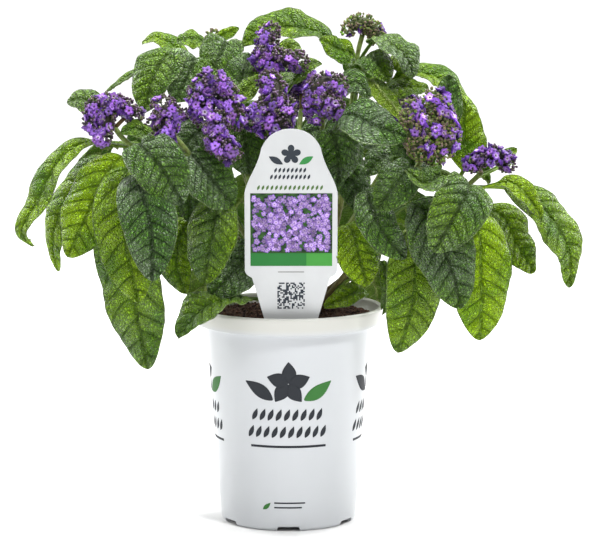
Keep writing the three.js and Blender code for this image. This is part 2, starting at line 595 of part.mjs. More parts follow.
// One curled band: a closed skin round a curve, over both ends too, raised into florets. They stand in
// staggered rows, each a six-sided peak with a valley to the next
function band(pathPoints, radius) {
  const curve = curveThrough(pathPoints.map(vec));
  const length = curve.getLength();
  const overhang = BAND_OVERHANG * radius;
  const around = Math.max(4, Math.round((2 * Math.PI * radius) / FLORET_PITCH));
  const rows = Math.max(2, Math.round((length + 2 * overhang) / (FLORET_PITCH * ROW_PITCH)));
  const { normals, binormals } = curve.computeFrenetFrames(20, false);
  const points = [];
  const places = new Map();
  const triangles = [];

  // A point at a column and row, counted in twelfths of a floret's width and sixths of a row
  const at = (column, row, height) => {
    const turn = ((column % (12 * around)) + 12 * around) % (12 * around);
    const key = `${turn},${row}`;
    if (places.has(key)) return places.get(key);
    const along = -overhang + ((length + 2 * overhang) * (row + 4)) / (6 * rows + 2);
    const u = THREE.MathUtils.clamp(along / length, 0, 1);
    const beyond = (END_SLOPE * (along - u * length)) / overhang;
    const angle = (2 * Math.PI * turn) / (12 * around);
    const frame = Math.round(u * 20);
    const outward = normals[frame].clone().multiplyScalar(Math.cos(angle))
      .addScaledVector(binormals[frame], Math.sin(angle))
      .multiplyScalar(Math.sqrt(1 - beyond * beyond))
      .addScaledVector(curve.getTangentAt(u), beyond);
    places.set(key, points.push(curve.getPointAt(u).addScaledVector(outward, radius * height)) - 1);
    return places.get(key);
  };
  const rim = (column, row, corner) => at(column, row, RIM_LEVELS[corner % 2]);
  const corners = [[0, -4], [6, -2], [6, 2], [0, 4], [-6, 2], [-6, -2]];
  for (let j = 0; j < rows; j += 1) {
    for (let i = 0; i < around; i += 1) {
      const column = 12 * i + 6 * (j % 2);
      const peak = at(column, 6 * j, CENTRE_LEVEL);
      const edge = corners.map(([x, y], corner) => rim(column + x, 6 * j + y, corner));
      edge.forEach((corner, k) => triangles.push([peak, corner, edge[(k + 1) % 6]]));
    }
  }
  for (const [end, row, way] of [[0, 0, 1], [1, rows - 1, -1]]) {
    const outside = curve.getPointAt(end).addScaledVector(curve.getTangentAt(end), -way * radius);
    const apex = points.push(outside) - 1;
    for (let i = 0; i < around; i += 1) {
      const column = 12 * i + 6 * (row % 2);
      const [left, middle, right] = [[-6, 2], [0, 4], [6, 2]]
        .map(([x, y]) => rim(column + x, 6 * row - way * y, 0));
      const fan = [[middle, left, apex], [right, middle, apex]];
      triangles.push(...(way > 0 ? fan : fan.map(([a, b, c]) => [b, a, c])));
    }
  }
  return solid(points, triangles);
}

function bloomBody(stem) {
  const tip = vec(stem.path.at(-1));
  const { radius, bands } = stem.bloom;
  const stalks = bands.map((points) => {
    const curve = curveThrough(points.map(vec));
    const [near] = curve.getPoints(12).sort((a, b) => a.distanceTo(tip) - b.distanceTo(tip));
    return tube(new THREE.LineCurve3(tip, near), () => STALK_RADIUS, STEM_SIDES, [0, 1]);
  });
  return union([...stalks, ...bands.map((points) => band(points, radius))]);
}

// Assembly: each stem keeps clear of the label and of the stems before it, each bloom of all of them
const labelBody = label();
const clearances = [label(CLEAR)];
const stemBodies = STEMS.map((stem) => {
  const body = mainBody(leafyStem(stem).subtract(union(clearances)));
  clearances.push(leafyStem(stem, CLEAR));
  return body;
});
const foliageClearance = union(clearances);
const bloomBodies = [];
for (const stem of STEMS) {
  const others = bloomBodies.length ? foliageClearance.add(union(bloomBodies)) : foliageClearance;
  bloomBodies.push(mainBody(bloomBody(stem).subtract(others)));
}
const soilBody = soil().subtract(union([label(CLEAR), ...STEMS.map(footHole)]));

const materials = {
  pot: new THREE.MeshStandardMaterial({ color: "#e9eaea", roughness: 0.3, metalness: 0 }),
  soil: new THREE.MeshStandardMaterial({ color: "#3a2720", roughness: 1, metalness: 0 }),
  label: new THREE.MeshStandardMaterial({ color: "#f4f4f2", roughness: 0.4, metalness: 0 }),
  leaf: new THREE.MeshStandardMaterial({ color: "#3f6b2c", roughness: 0.5, metalness: 0 }),
  bloom: new THREE.MeshStandardMaterial({ color: "#6a3fb4", roughness: 0.7, metalness: 0 }),
};

function meshOf(body, name, material) {
  const mesh = new THREE.Mesh(geometryOf(body), material);
  mesh.name = name;
  return mesh;
}

const group = new THREE.Group();
group.add(meshOf(pot(), "pot", materials.pot));
group.add(meshOf(soilBody, "soil", materials.soil));
group.add(meshOf(labelBody, "label", materials.label));
STEMS.forEach((stem, i) => {
  group.add(meshOf(stemBodies[i], `leafy_stem_${stem.name}`, materials.leaf));
  group.add(meshOf(bloomBodies[i], `bloom_${stem.name}`, materials.bloom));
});

export default group;
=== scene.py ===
# Potted heliotrope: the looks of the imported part. Tables are in millimetres, meshes in metres
import math
import random

import bpy
import numpy as np
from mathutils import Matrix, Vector


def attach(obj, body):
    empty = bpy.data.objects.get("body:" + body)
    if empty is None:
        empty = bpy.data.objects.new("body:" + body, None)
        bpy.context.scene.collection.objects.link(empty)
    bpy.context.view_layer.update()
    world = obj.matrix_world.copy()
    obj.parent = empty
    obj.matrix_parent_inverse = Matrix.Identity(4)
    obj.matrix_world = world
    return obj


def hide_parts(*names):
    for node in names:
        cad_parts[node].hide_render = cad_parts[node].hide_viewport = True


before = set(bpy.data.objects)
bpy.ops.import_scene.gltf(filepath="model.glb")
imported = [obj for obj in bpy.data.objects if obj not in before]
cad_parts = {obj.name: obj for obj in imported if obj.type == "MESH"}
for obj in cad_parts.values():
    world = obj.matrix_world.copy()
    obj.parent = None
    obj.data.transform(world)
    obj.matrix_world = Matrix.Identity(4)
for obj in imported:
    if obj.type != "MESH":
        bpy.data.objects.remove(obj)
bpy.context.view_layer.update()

MM = 0.001

# Camera: height and distance that the photo's rim and foot ellipses give, and where it looks
CAMERA_DISTANCE = 1.70
CAMERA_HEIGHT = 0.385
CAMERA_AIM = (0.007, 0.0, 0.149)
FRAME_WIDTH = 0.360
SENSOR = 36.0

# Pot and soil, the same values as the solids
POT_HEIGHT = 130
LIP_RADIUS = 57
COLLAR_HEIGHT = 10.5
BODY_TOP_RADIUS = 49.5
BODY_FOOT_RADIUS = 40.5
WALL = 1.5
FLOOR_TOP = 2.4
POT_SIDES = 180
NOTCH_WIDTH = 14
NOTCH_HEIGHT = 3
NOTCH_COUNT = 6
SOIL_EDGE_TOP = 123.5
SOIL_CROWN = 3

# Label, the same values as the solid
LABEL_X = 1.6
LABEL_Y = -45
LABEL_LEAN = 9
LABEL_THICKNESS = 0.9
LABEL_RISE = 119.5
LABEL_BURIED = 18

# Stem and leaf sections, the same values as the solids
STEM_FOOT_RADIUS = 2.3
STEM_TIP_RADIUS = 1.5
LEAF_THICKNESS = 0.74
PETIOLE_THICKNESS = 2.1
PETIOLE_HALF_WIDTH = 1.3
LEAF_CURL = 0.3
WAVE_HEIGHT = 0.1
WAVES = 2.5

# Heights of the two points straight above a stem's foot, where each stem starts in the soil and leaves it
FOOT_HEIGHTS = (108, 128)

# Each stem: its foot in the soil, the points it passes after that, its leaves, and the radius and the bands
# of its bloom head. A leaf row: place along the stem, half width, compass of the upper face (0 front,
# 90 right, -90 left, 180 back), its tilt above level, fold at the midrib, tone (0 dark to 1 bright), points
# of the midrib.
STEMS = [
  {
    "name": "far_left",
    "foot": [-9, -4],
    "path": [[-20, -9, 157], [-48, -22, 193], [-75, -34, 218], [-94, -40, 232],
      [-101, -39, 240]],
    "leaves": [
      [0.90, 11, -35, 40, 25, 0.7, [[-117, -36, 231], [-134, -40, 220], [-146, -42, 197],
        [-155, -42, 181], [-149, -44, 171]]],
      [0.96, 9, -20, 45, 15, 0.3, [[-112, -28, 251], [-121, -26, 256], [-130, -24, 254]]],
      [0.82, 20, -20, 25, 15, 0.85, [[-98, -50, 222], [-112, -54, 199], [-128, -54, 166]]],
      [0.75, 13, -40, 25, 15, 0.85, [[-107, -28, 219], [-126, -28, 204], [-138, -28, 176],
        [-136, -26, 154]]],
      [0.45, 13, -10, 25, 15, 0.15, [[-50, -18, 192], [-64, -22, 184], [-74, -24, 158]]],
      [0.72, 19, -10, 15, 15, 0.7, [[-92, -60, 217], [-94, -68, 182], [-86, -72, 142]]],
      [0.60, 21, -25, 20, 18, 0.45, [[-96, -38, 189], [-90, -46, 141], [-82, -48, 99]]],
    ],
    "radius": 6.5,
    "bands": [
      [[-114, -42, 243], [-112, -40, 252], [-103, -39, 255], [-95, -38, 252], [-90, -38, 247]],
      [[-103, -40, 254], [-107, -43, 243], [-108, -44, 235]],
    ],
  },
  {
    "name": "front_left",
    "foot": [-5, -11],
    "path": [[-20, -26, 166], [-40, -44, 201], [-57, -54, 226],
      [-65, -56, 236]],
    "leaves": [
      [0.95, 8, 0, 50, 20, 0.6, [[-80, -44, 236], [-88, -46, 240], [-97, -48, 238]]],
      [0.90, 17, -10, 35, 20, 0.1, [[-84, -72, 234], [-73, -82, 222], [-60, -80, 200]]],
      [0.76, 17, 0, 20, 16, 0.0, [[-82, -74, 215], [-78, -92, 188], [-77, -96, 158]]],
      [0.82, 18, 15, 35, 22, 0.1, [[-56, -60, 226], [-46, -61, 214], [-32, -55, 196]]],
      [0.63, 9, -10, 20, 15, 0.2, [[-60, -44, 219], [-58, -40, 202], [-58, -36, 184]]],
      [0.50, 16, -15, 20, 15, 0.45, [[-38, -48, 200], [-45, -54, 176], [-49, -54, 150]]],
      [0.42, 12, -20, 25, 15, 0.6, [[-56, -34, 184], [-66, -40, 163], [-60, -44, 143]]],
      [0.18, 17, -30, 55, 30, 0.45, [[-27, -36, 139], [-47, -55, 137], [-64, -67, 121]]],
    ],
    "radius": 8,
    "bands": [
      [[-72, -57, 254], [-68, -58, 249], [-70, -60, 241], [-73, -62, 233]],
    ],
  },
  {
    "name": "centre_left",
    "foot": [-2, -3],
    "path": [[-10, -14, 168], [-23, -28, 209], [-35, -38, 234],
      [-41, -42, 244]],
    "leaves": [
      [0.45, 15, -10, 25, 15, 0.1, [[-20, -34, 170], [-32, -42, 156], [-46, -46, 142]]],
      [0.92, 7, 0, 40, 15, 0.5, [[-33, -32, 252], [-24, -27, 262], [-15, -24, 270]]],
      [0.88, 12, 10, 30, 15, 0.2, [[-29, -14, 261], [-25, -8, 273], [-22, 2, 281]]],
      [0.80, 15, 0, 30, 15, 0.15, [[-28, -30, 240], [-25, -34, 230], [-23, -32, 212]]],
    ],
    "radius": 8.5,
    "bands": [
      [[-49, -52, 249], [-51, -49, 262], [-42, -47, 267], [-35, -50, 258], [-31, -53, 247]],
      [[-41, -58, 246], [-42, -62, 236], [-34, -63, 229]],
    ],
  },
  {
    "name": "front",
    "foot": [3, -9],
    "path": [[-1, -12, 171], [-7, -24, 208], [-11, -31, 233], [-12, -34, 242]],
    "leaves": [
      [0.50, 12, -10, 20, 15, 0.05, [[-9, -30, 206], [-13, -42, 188], [-15, -44, 161]]],
      [0.55, 13, 10, 20, 15, 0.05, [[7, -22, 202], [14, -34, 185], [17, -36, 161]]],
    ],
    "radius": 8.5,
    "bands": [
      [[-11, -32, 266], [-7, -36, 259], [-12, -41, 252], [-19, -42, 245]],
      [[-12, -42, 240], [-5, -43, 243], [-2, -40, 251]],
    ],
  },
  {
    "name": "top",
    "foot": [3, 4],
    "path": [[1, 6, 169], [-4, 0, 218], [-8, -8, 255], [-10, -10, 270]],
    "leaves": [
      [0.95, 7, 0, 40, 20, 0.6, [[-3, -4, 277], [2, -2, 286], [8, 0, 284]]],
      [0.87, 6, 0, 50, 15, 0.5, [[4, -10, 266], [12, -12, 275], [20, -10, 276]]],
      [0.60, 16, 10, 35, 15, 0.05, [[8, -2, 233], [28, -6, 230], [41, -10, 208]]],
      [0.55, 14, 15, 25, 15, 0.1, [[16, 4, 218], [34, -4, 212], [46, -6, 186]]],
      [0.78, 12, 180, 35, 18, 0.25, [[-6, 18, 262], [-8, 36, 270], [-12, 52, 263]]],
    ],
    "radius": 7.5,
    "bands": [
      [[-11, -8, 294], [-13, -12, 284], [-16, -14, 277]],
      [[-14, -13, 281], [-4, -17, 278], [6, -17, 277]],
    ],
  },
  {
    "name": "front_right",
    "foot": [6, -2.5],
    "path": [[12, -8, 165], [18, -20, 208], [20, -28, 239], [20, -31, 248]],
    "leaves": [
      [0.73, 14, 10, 15, 15, 0.1, [[23, -40, 238], [29, -46, 226], [29, -45, 208]]],
      [0.82, 15, 15, 35, 20, 0.05, [[33, -50, 248], [50, -66, 243], [68, -64, 237]]],
      [0.90, 11, 20, 45, 20, 0.1, [[31, -22, 259], [40, -20, 265], [48, -20, 256]]],
      [0.35, 15, 15, 20, 15, 0.85, [[34, -38, 182], [42, -48, 163], [46, -48, 148]]],
    ],
    "radius": 8,
    "bands": [
      [[16, -38, 249], [15, -38, 259], [21, -37, 266], [28, -35, 265]],
      [[20, -43, 255], [27, -40, 251]],
    ],
  },
  {
    "name": "back_right_top",
    "foot": [10, 5],
    "path": [[25, 15, 162], [35, 26, 209], [39, 34, 252], [42, 38, 277],
      [45, 38, 290]],
    "leaves": [
      [0.86, 15, 10, 50, 35, 0.6, [[26, 32, 286], [8, 24, 294], [-12, 16, 294], [-27, 8, 285]]],
      [0.90, 15, 40, 45, 25, 0.3, [[52, 24, 287], [62, 12, 285], [70, 4, 278], [74, 2, 266]]],
      [0.76, 14, 50, 45, 32, 0.7, [[66, 26, 264], [87, 28, 265], [102, 26, 252], [115, 22, 237]]],
      [0.66, 12, 20, 35, 15, 0.35, [[44, 18, 272], [51, 8, 277], [60, 0, 264]]],
      [0.60, 8, -150, -30, 20, 0.9, [[46, 10, 262], [57, -6, 256], [69, -12, 241]]],
      [0.66, 12, 20, 60, 15, 0.5, [[60, 14, 257], [72, 10, 260], [84, 8, 260]]],
      [0.55, 14, 15, 25, 15, 0.1, [[50, 14, 226], [68, 4, 224], [82, 2, 200]]],
      [0.80, 13, 170, 35, 18, 0.3, [[44, 54, 270], [46, 76, 268], [48, 94, 250]]],
      [0.82, 12, 20, 40, 15, 0.85, [[60, 34, 270], [65, 30, 278], [70, 24, 268]]],
      [0.84, 9, 0, 35, 15, 0.8, [[39, 26, 278], [30, 20, 282], [19, 14, 289]]],
    ],
    "radius": 6,
    "bands": [
      [[37, 36, 294], [44, 36, 298], [50, 36, 295], [54, 36, 289]],
    ],
  },
  {
    "name": "right",
    "foot": [13, -9],
    "path": [[22, -17, 136], [38, -26, 158], [56, -38, 189], [72, -46, 214],
      [81, -47, 227]],
    "leaves": [
      [0.69, 12, 10, 25, 15, 0.1, [[46, -50, 204], [53, -62, 184], [68, -60, 166]]],
      [0.78, 14, -20, 25, 18, 0.15, [[71, -58, 219], [62, -66, 210], [51, -64, 195]]],
      [0.92, 10, -10, 40, 35, 0.3, [[87, -64, 216], [77, -72, 211], [67, -72, 219]]],
      [0.62, 20, 15, 20, 18, 0.15, [[74, -52, 196], [91, -64, 168], [100, -62, 137]]],
      [0.40, 18, 10, -20, 15, 0.6, [[70, -42, 178], [73, -52, 143], [64, -50, 109]]],
      [0.94, 10, 0, 20, 20, 0.1, [[91, -22, 240], [94, -14, 255], [95, -10, 269]]],
      [0.26, 4, 20, 30, 10, 0.4, [[52, -38, 161], [58, -40, 147], [55, -40, 133]]],
      [0.74, 9, 0, 30, 15, 0.2, [[61, -30, 221], [53, -34, 221], [46, -36, 212]]],
    ],
    "radius": 8,
    "bands": [
      [[71, -54, 251], [72, -58, 240], [76, -58, 229]],
      [[85, -45, 257], [91, -49, 245], [92, -53, 233], [85, -55, 226]],
      [[72, -55, 245], [82, -53, 239], [91, -50, 239]],
    ],
  },
  {
    "name": "far_right",
    "foot": [13, 0],
    "path": [[40, -6, 152], [77, -15, 181], [103, -21, 202], [114, -22, 212]],
    "leaves": [
      [0.78, 19, 10, 20, 28, 0.3, [[104, -58, 208], [96, -75, 194], [83, -78, 172]]],
      [0.80, 14, 10, 10, 18, 0.8, [[105, -14, 216], [104, -8, 234], [104, -6, 253]]],
      [0.97, 5, 0, 45, 15, 0.6, [[126, -10, 215], [131, -8, 222], [136, -6, 225]]],
      [0.62, 20, 15, 25, 18, 0.9, [[107, -43, 185], [112, -50, 150], [112, -48, 116]]],
      [0.70, 15, 30, 30, 20, 0.7, [[122, -20, 188], [135, -22, 169], [146, -20, 152]]],
      [0.92, 16, 35, 35, 20, 0.6, [[131, -30, 203], [149, -38, 192], [163, -40, 170], [165, -40, 146]]],
      [0.85, 8, 20, 30, 30, 0.8, [[126, -40, 208], [137, -46, 203], [148, -46, 188]]],
      [0.14, 8, -10, 40, 20, 0.8, [[42, -24, 144], [33, -30, 139], [21, -36, 134]]],
    ],
    "radius": 6.5,
    "bands": [
      [[108, -28, 218], [116, -28, 222], [123, -28, 223], [129, -28, 218]],
    ],
  },
  {
    "name": "back_left_top",
    "foot": [-4, 10],
    "path": [[-12, 20, 164], [-29, 30, 215], [-41, 36, 258], [-46, 38, 280]],
    "leaves": [
      [0.84, 16, -20, 35, 20, 0.3, [[-66, 14, 280], [-79, -4, 269], [-85, -12, 247]]],
      [0.79, 16, 10, 35, 20, 0.2, [[-54, 10, 276], [-58, -2, 270], [-67, -12, 253]]],
      [0.91, 15, 0, 40, 30, 0.25, [[-37, 24, 286], [-41, 10, 278], [-46, 2, 265]]],
      [0.95, 10, -20, 55, 15, 0.65, [[-51, 30, 285], [-58, 28, 288], [-67, 26, 287]]],
      [0.87, 8, -10, 60, 20, 0.75, [[-66, 54, 279], [-80, 57, 287], [-90, 59, 284]]],
      [0.70, 6, -60, 60, 30, 0.5, [[-75, 26, 276], [-92, 20, 268], [-110, 14, 257]]],
      [0.55, 14, -15, 25, 15, 0.1, [[-44, 20, 232], [-60, 10, 228], [-72, 6, 204]]],
      [0.96, 4, 0, 30, 10, 0.9, [[-42, 42, 287], [-36, 43, 291], [-30, 43, 294]]],
      [0.75, 14, -170, 35, 18, 0.25, [[-46, 56, 268], [-54, 78, 263], [-60, 96, 243]]],
    ],
    "radius": 4,
    "bands": [
      [[-47, 38, 285], [-46, 38, 290]],
    ],
  },
  {
    "name": "back",
    "foot": [2, 11],
    "path": [[4, 28, 175], [6, 52, 222], [8, 66, 242]],
    "leaves": [
      [0.95, 18, 180, 25, 18, 0.25, [[0, 84, 233], [-6, 112, 226], [-8, 124, 196]]],
      [0.90, 18, 150, 25, 20, 0.3, [[22, 76, 246], [38, 100, 236], [48, 114, 208]]],
      [0.88, 17, -150, 25, 16, 0.2, [[-12, 76, 244], [-32, 98, 236], [-46, 110, 212]]],
      [0.70, 20, 175, 20, 16, 0.35, [[8, 80, 218], [14, 104, 196], [12, 110, 156]]],
      [0.60, 19, -160, 20, 18, 0.4, [[-14, 68, 200], [-34, 94, 176], [-40, 98, 138]]],
      [0.55, 18, 150, 20, 16, 0.3, [[24, 60, 196], [44, 84, 174], [52, 90, 136]]],
      [0.35, 17, 180, 20, 15, 0.7, [[4, 56, 168], [2, 84, 146], [-2, 90, 116]]],
    ],
    "radius": 8,
    "bands": [
      [[-6, 68, 252], [0, 66, 261], [10, 68, 262], [18, 72, 254]],
      [[8, 70, 258], [8, 80, 252], [6, 86, 243]],
    ],
  },
  {
    "name": "back_right",
    "foot": [9, 12],
    "path": [[30, 26, 162], [56, 42, 204], [70, 52, 228]],
    "leaves": [
      [0.98, 18, 120, 25, 20, 0.5, [[84, 60, 223], [108, 76, 221], [126, 86, 194]]],
      [0.88, 17, 165, 25, 16, 0.3, [[72, 70, 234], [80, 98, 222], [82, 110, 192]]],
      [0.78, 19, 130, 20, 18, 0.35, [[84, 56, 206], [110, 74, 186], [116, 82, 150]]],
      [0.65, 18, 160, 20, 16, 0.3, [[64, 62, 196], [76, 86, 172], [80, 92, 134]]],
      [0.50, 18, 110, 20, 15, 0.8, [[66, 36, 176], [94, 46, 158], [106, 50, 124]]],
      [0.35, 17, 150, 20, 15, 0.5, [[36, 44, 156], [52, 68, 138], [58, 74, 112]]],
    ],
    "radius": 8,
    "bands": [
      [[62, 52, 240], [68, 54, 247], [78, 56, 245], [84, 58, 240]],
    ],
  },
  {
    "name": "back_left",
    "foot": [-10, 4],
    "path": [[-28, 22, 162], [-58, 38, 202], [-73, 46, 222]],
    "leaves": [
      [0.98, 18, -120, 25, 20, 0.45, [[-90, 52, 221], [-116, 66, 217], [-130, 72, 190]]],
      [0.88, 17, -165, 25, 16, 0.3, [[-78, 64, 230], [-88, 92, 218], [-92, 104, 190]]],
      [0.78, 19, -135, 20, 18, 0.25, [[-84, 54, 202], [-110, 74, 182], [-116, 80, 146]]],
      [0.60, 18, -165, 20, 16, 0.4, [[-58, 58, 190], [-68, 84, 170], [-72, 90, 132]]],
      [0.50, 18, -100, 20, 15, 0.75, [[-64, 30, 176], [-94, 36, 158], [-110, 38, 124]]],
      [0.35, 17, -155, 20, 15, 0.4, [[-34, 42, 156], [-50, 66, 136], [-54, 72, 110]]],
    ],
    "radius": 7.5,
    "bands": [
      [[-82, 46, 230], [-78, 48, 238], [-68, 50, 240], [-60, 52, 232]],
    ],
  },
]


# Curves and meshes


class Curve:
    """A uniform Catmull-Rom curve through points, with its ends reflected, read by share of its length."""

    SAMPLES = 200

    def __init__(self, points):
        self.points = np.array(points, float)
        first = 2 * self.points[0] - self.points[1]
        last = 2 * self.points[-1] - self.points[-2]
        self.extended = np.vstack([first, self.points, last])
        self.steps = np.linspace(0, 1, self.SAMPLES + 1)
        gaps = np.linalg.norm(np.diff(self.raw(self.steps), axis=0), axis=1)
        self.lengths = np.concatenate([[0], np.cumsum(gaps)])
        self.length = self.lengths[-1]

    def raw(self, t):
        spans = len(self.points) - 1
        place = np.clip(np.atleast_1d(t), 0, 1) * spans
        i = np.minimum(place.astype(int), spans - 1)
        w = (place - i)[:, None]
        before, start, end, after = (self.extended[i + k] for k in range(4))
        leave = (end - before) / 2
        arrive = (after - start) / 2
        square = -3 * start + 3 * end - 2 * leave - arrive
        cube = 2 * start - 2 * end + leave + arrive
        return start + leave * w + square * w**2 + cube * w**3

    def at(self, share):
        return self.raw(np.interp(np.atleast_1d(share) * self.length, self.lengths, self.steps))

    def tangent(self, share):
        share = np.atleast_1d(share)
        step = self.at(np.clip(share + 0.002, 0, 1)) - self.at(np.clip(share - 0.002, 0, 1))
        return unit(step)

    def frames(self, shares):
        """Normals and binormals at the given shares, carried along the curve with no twist."""
        tangents = self.tangent(shares)
        normal = np.array([0.3, 1, 0.1])
        normals = []
        for tangent in tangents:
            normal = unit(normal - normal.dot(tangent) * tangent)
            normals.append(normal)
        normals = np.array(normals)
        return normals, np.cross(tangents, normals)


def unit(v):
    return v / np.maximum(np.linalg.norm(v, axis=-1, keepdims=True), 1e-9)


def smooth_step(x):
    x = np.clip(x, 0, 1)
    return x * x * (3 - 2 * x)


def show(name, data):
    """A new object of this name and data, in the scene."""
    obj = bpy.data.objects.new(name, data)
    bpy.context.scene.collection.objects.link(obj)
    return obj


def show_piece(name, mesh, replaces):
    """A piece of the part, which rides on its one body."""
    obj = show(name, mesh)
    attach(obj, "root")
    if replaces:
        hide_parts(*replaces)
    return obj


class Build:
    """Gathers points, faces and their values for one mesh."""

    def __init__(self):
        self.points = []
        self.faces = []
        self.slots = []
        self.values = {}
        self.count = 0

    def add(self, points, faces, slot=0, **values):
        points = np.asarray(points, float).reshape(-1, 3)
        faces = np.asarray(faces, int)
        self.points.append(points)
        self.faces.append(faces + self.count)
        self.slots.append(np.broadcast_to(slot, len(faces)).copy())
        for name, value in values.items():
            value = np.asarray(value, float)
            if value.ndim < 2:
                value = np.broadcast_to(value, len(points))
            self.values.setdefault(name, []).append(value)
        self.count += len(points)

    def join(self, faces, slot=0):
        """Faces between points that are already there."""
        self.faces.append(faces)
        self.slots.append(np.full(len(faces), slot))

    def cap(self, first, sides, turn, slot=0):
        """A fan of triangles over a ring of points."""
        ring = np.arange(sides)[::turn] + first
        self.join(np.column_stack([np.full(sides - 2, ring[0]), ring[1:-1], ring[2:]]), slot)

    def piece(self, name, materials, replaces=(), smooth=True):
        mesh = bpy.data.meshes.new(name)
        points = np.vstack(self.points) * MM
        sizes = np.concatenate([np.full(len(f), f.shape[1]) for f in self.faces])
        corners = np.concatenate([f.ravel() for f in self.faces])
        mesh.vertices.add(len(points))
        mesh.vertices.foreach_set("co", points.ravel())
        mesh.loops.add(len(corners))
        mesh.loops.foreach_set("vertex_index", corners)
        mesh.polygons.add(len(sizes))
        mesh.polygons.foreach_set("loop_start", np.concatenate([[0], np.cumsum(sizes)[:-1]]))
        mesh.polygons.foreach_set("loop_total", sizes)
        mesh.polygons.foreach_set("material_index", np.concatenate(self.slots))
        mesh.update(calc_edges=True)
        mesh.polygons.foreach_set("use_smooth", np.full(len(sizes), smooth))
        for key, parts in self.values.items():
            joined = np.concatenate(parts)
            if key == "flat":
                layer = mesh.uv_layers.new(name="flat")
                layer.data.foreach_set("uv", joined[corners].ravel())
            elif key == "tint":
                layer = mesh.color_attributes.new(key, "FLOAT_COLOR", "POINT")
                layer.data.foreach_set("color", np.column_stack([joined, np.ones(len(joined))]).ravel())
            else:
                mesh.attributes.new(key, "FLOAT", "POINT").data.foreach_set("value", joined)
        mesh.validate()
        for material in materials:
            mesh.materials.append(material)
        return show_piece(name, mesh, replaces)


def grid_faces(rows, columns, closed=False):
    """Quads of a grid of points, row by row; closed joins the last column to the first."""
    i, j = np.meshgrid(np.arange(rows - 1), np.arange(columns if closed else columns - 1), indexing="ij")
    k = (j + 1) % columns
    row, after = i * columns, (i + 1) * columns
    return np.stack([row + j, row + k, after + k, after + j], -1).reshape(-1, 4)


def tube(build, curve, radii, sides, shares, slot=0, **values):
    """A closed tube along a curve, with the given radius at each share of its length."""
    normals, binormals = curve.frames(shares)
    angles = np.linspace(0, 2 * np.pi, sides, endpoint=False)
    c, s = (f(angles)[None, :, None] for f in (np.cos, np.sin))
    ring = c * normals[:, None] + s * binormals[:, None]
    points = curve.at(shares)[:, None] + ring * np.asarray(radii)[:, None, None]
    rows = len(shares)
    build.add(points, grid_faces(rows, sides, closed=True), slot, **values)
    first = build.count - rows * sides
    build.cap(first, sides, -1, slot)
    build.cap(first + (rows - 1) * sides, sides, 1, slot)


def lathe(build, profile, sides, slot=0, **values):
    """A closed profile of [radius, height] turned about Z; its two ends lie on the axis."""
    profile = np.array(profile, float)
    angles = np.linspace(0, 2 * np.pi, sides, endpoint=False)
    rows = profile[1:-1]
    points = np.stack([
        rows[:, None, 0] * np.cos(angles),
        rows[:, None, 0] * np.sin(angles),
        np.broadcast_to(rows[:, 1:2], (len(rows), sides)),
    ], -1)
    build.add(points, grid_faces(len(rows), sides, closed=True), slot, **values)
    first = build.count - len(rows) * sides
    for end, row, turn in ((profile[0], 0, -1), (profile[-1], len(rows) - 1, 1)):
        build.add([[0, 0, end[1]]], np.zeros((0, 3)), slot, **values)
        ring = np.arange(sides)
        rim = first + row * sides
        fan = np.column_stack([np.full(sides, build.count - 1), rim + ring, rim + (ring + 1) % sides])
        build.join(fan[:, ::turn], slot)


# Materials


class Nodes:
    """A material's node tree, built a node at a time."""

    def __init__(self, name):
        self.material = bpy.data.materials.new(name)
        self.material.use_nodes = True
        self.tree = self.material.node_tree
        self.tree.nodes.clear()

    def node(self, kind, inputs=None, **settings):
        made = self.tree.nodes.new("ShaderNode" + kind)
        for key, value in settings.items():
            setattr(made, key, value)
        for key, value in (inputs or {}).items():
            self.put(made.inputs[key], value)
        return made

    def put(self, socket, value):
        if isinstance(value, bpy.types.NodeSocket):
            self.tree.links.new(value, socket)
        else:
            socket.default_value = value

    def math(self, operation, a, b):
        return self.node("Math", {0: a, 1: b}, operation=operation).outputs[0]

    def vector(self, operation, inputs):
        return self.node("VectorMath", inputs, operation=operation).outputs[0]

    def edge_distance(self, vector, scale, randomness):
        """How far a place is from the edge of its cell."""
        return self.node("TexVoronoi", {"Vector": vector, "Scale": scale, "Randomness": randomness},
                         feature="DISTANCE_TO_EDGE").outputs["Distance"]

    def times(self, a, b):
        return self.math("MULTIPLY", a, b)

    def plus(self, a, b):
        return self.math("ADD", a, b)

    def place(self):
        return self.node("TexCoord").outputs["Object"]

    def attribute(self, name, output="Fac"):
        return self.node("Attribute", attribute_name=name).outputs[output]

    def mix(self, factor, a, b, blend="MIX"):
        made = self.node("Mix", data_type="RGBA", blend_type=blend)
        self.put(made.inputs[0], factor)
        self.put(made.inputs[6], a)
        self.put(made.inputs[7], b)
        return made.outputs[2]

    def between(self, value, low, high, to_low=0.0, to_high=1.0):
        return self.node("MapRange", {0: value, 1: low, 2: high, 3: to_low, 4: to_high},
                         interpolation_type="SMOOTHSTEP").outputs[0]

    def noise(self, vector, scale, detail=3.0, roughness=0.55):
        return self.node("TexNoise", {"Vector": vector, "Scale": scale, "Detail": detail,
                                      "Roughness": roughness}).outputs["Fac"]

    def bump(self, height, strength, distance, normal=None):
        inputs = {"Height": height, "Strength": strength, "Distance": distance}
        if normal is not None:
            inputs["Normal"] = normal
        return self.node("Bump", inputs).outputs[0]

    def surface(self, inputs, translucent=0.0, glow=None):
        shader = self.node("BsdfPrincipled", inputs)
        out = shader.outputs[0]
        if translucent:
            through = self.node("BsdfTranslucent", {"Color": glow, "Normal": inputs["Normal"]})
            out = self.node("MixShader", {0: translucent, 1: out, 2: through.outputs[0]}).outputs[0]
        self.node("OutputMaterial", {"Surface": out})
        return self.material


def rgb(red, green, blue):
    """A colour as the eye reads it, 0 to 255, as the linear value that the nodes take."""
    shares = [level / 255 for level in (red, green, blue)]
    return (*(c / 12.92 if c < 0.0404 else ((c + 0.055) / 1.055) ** 2.4 for c in shares), 1.0)


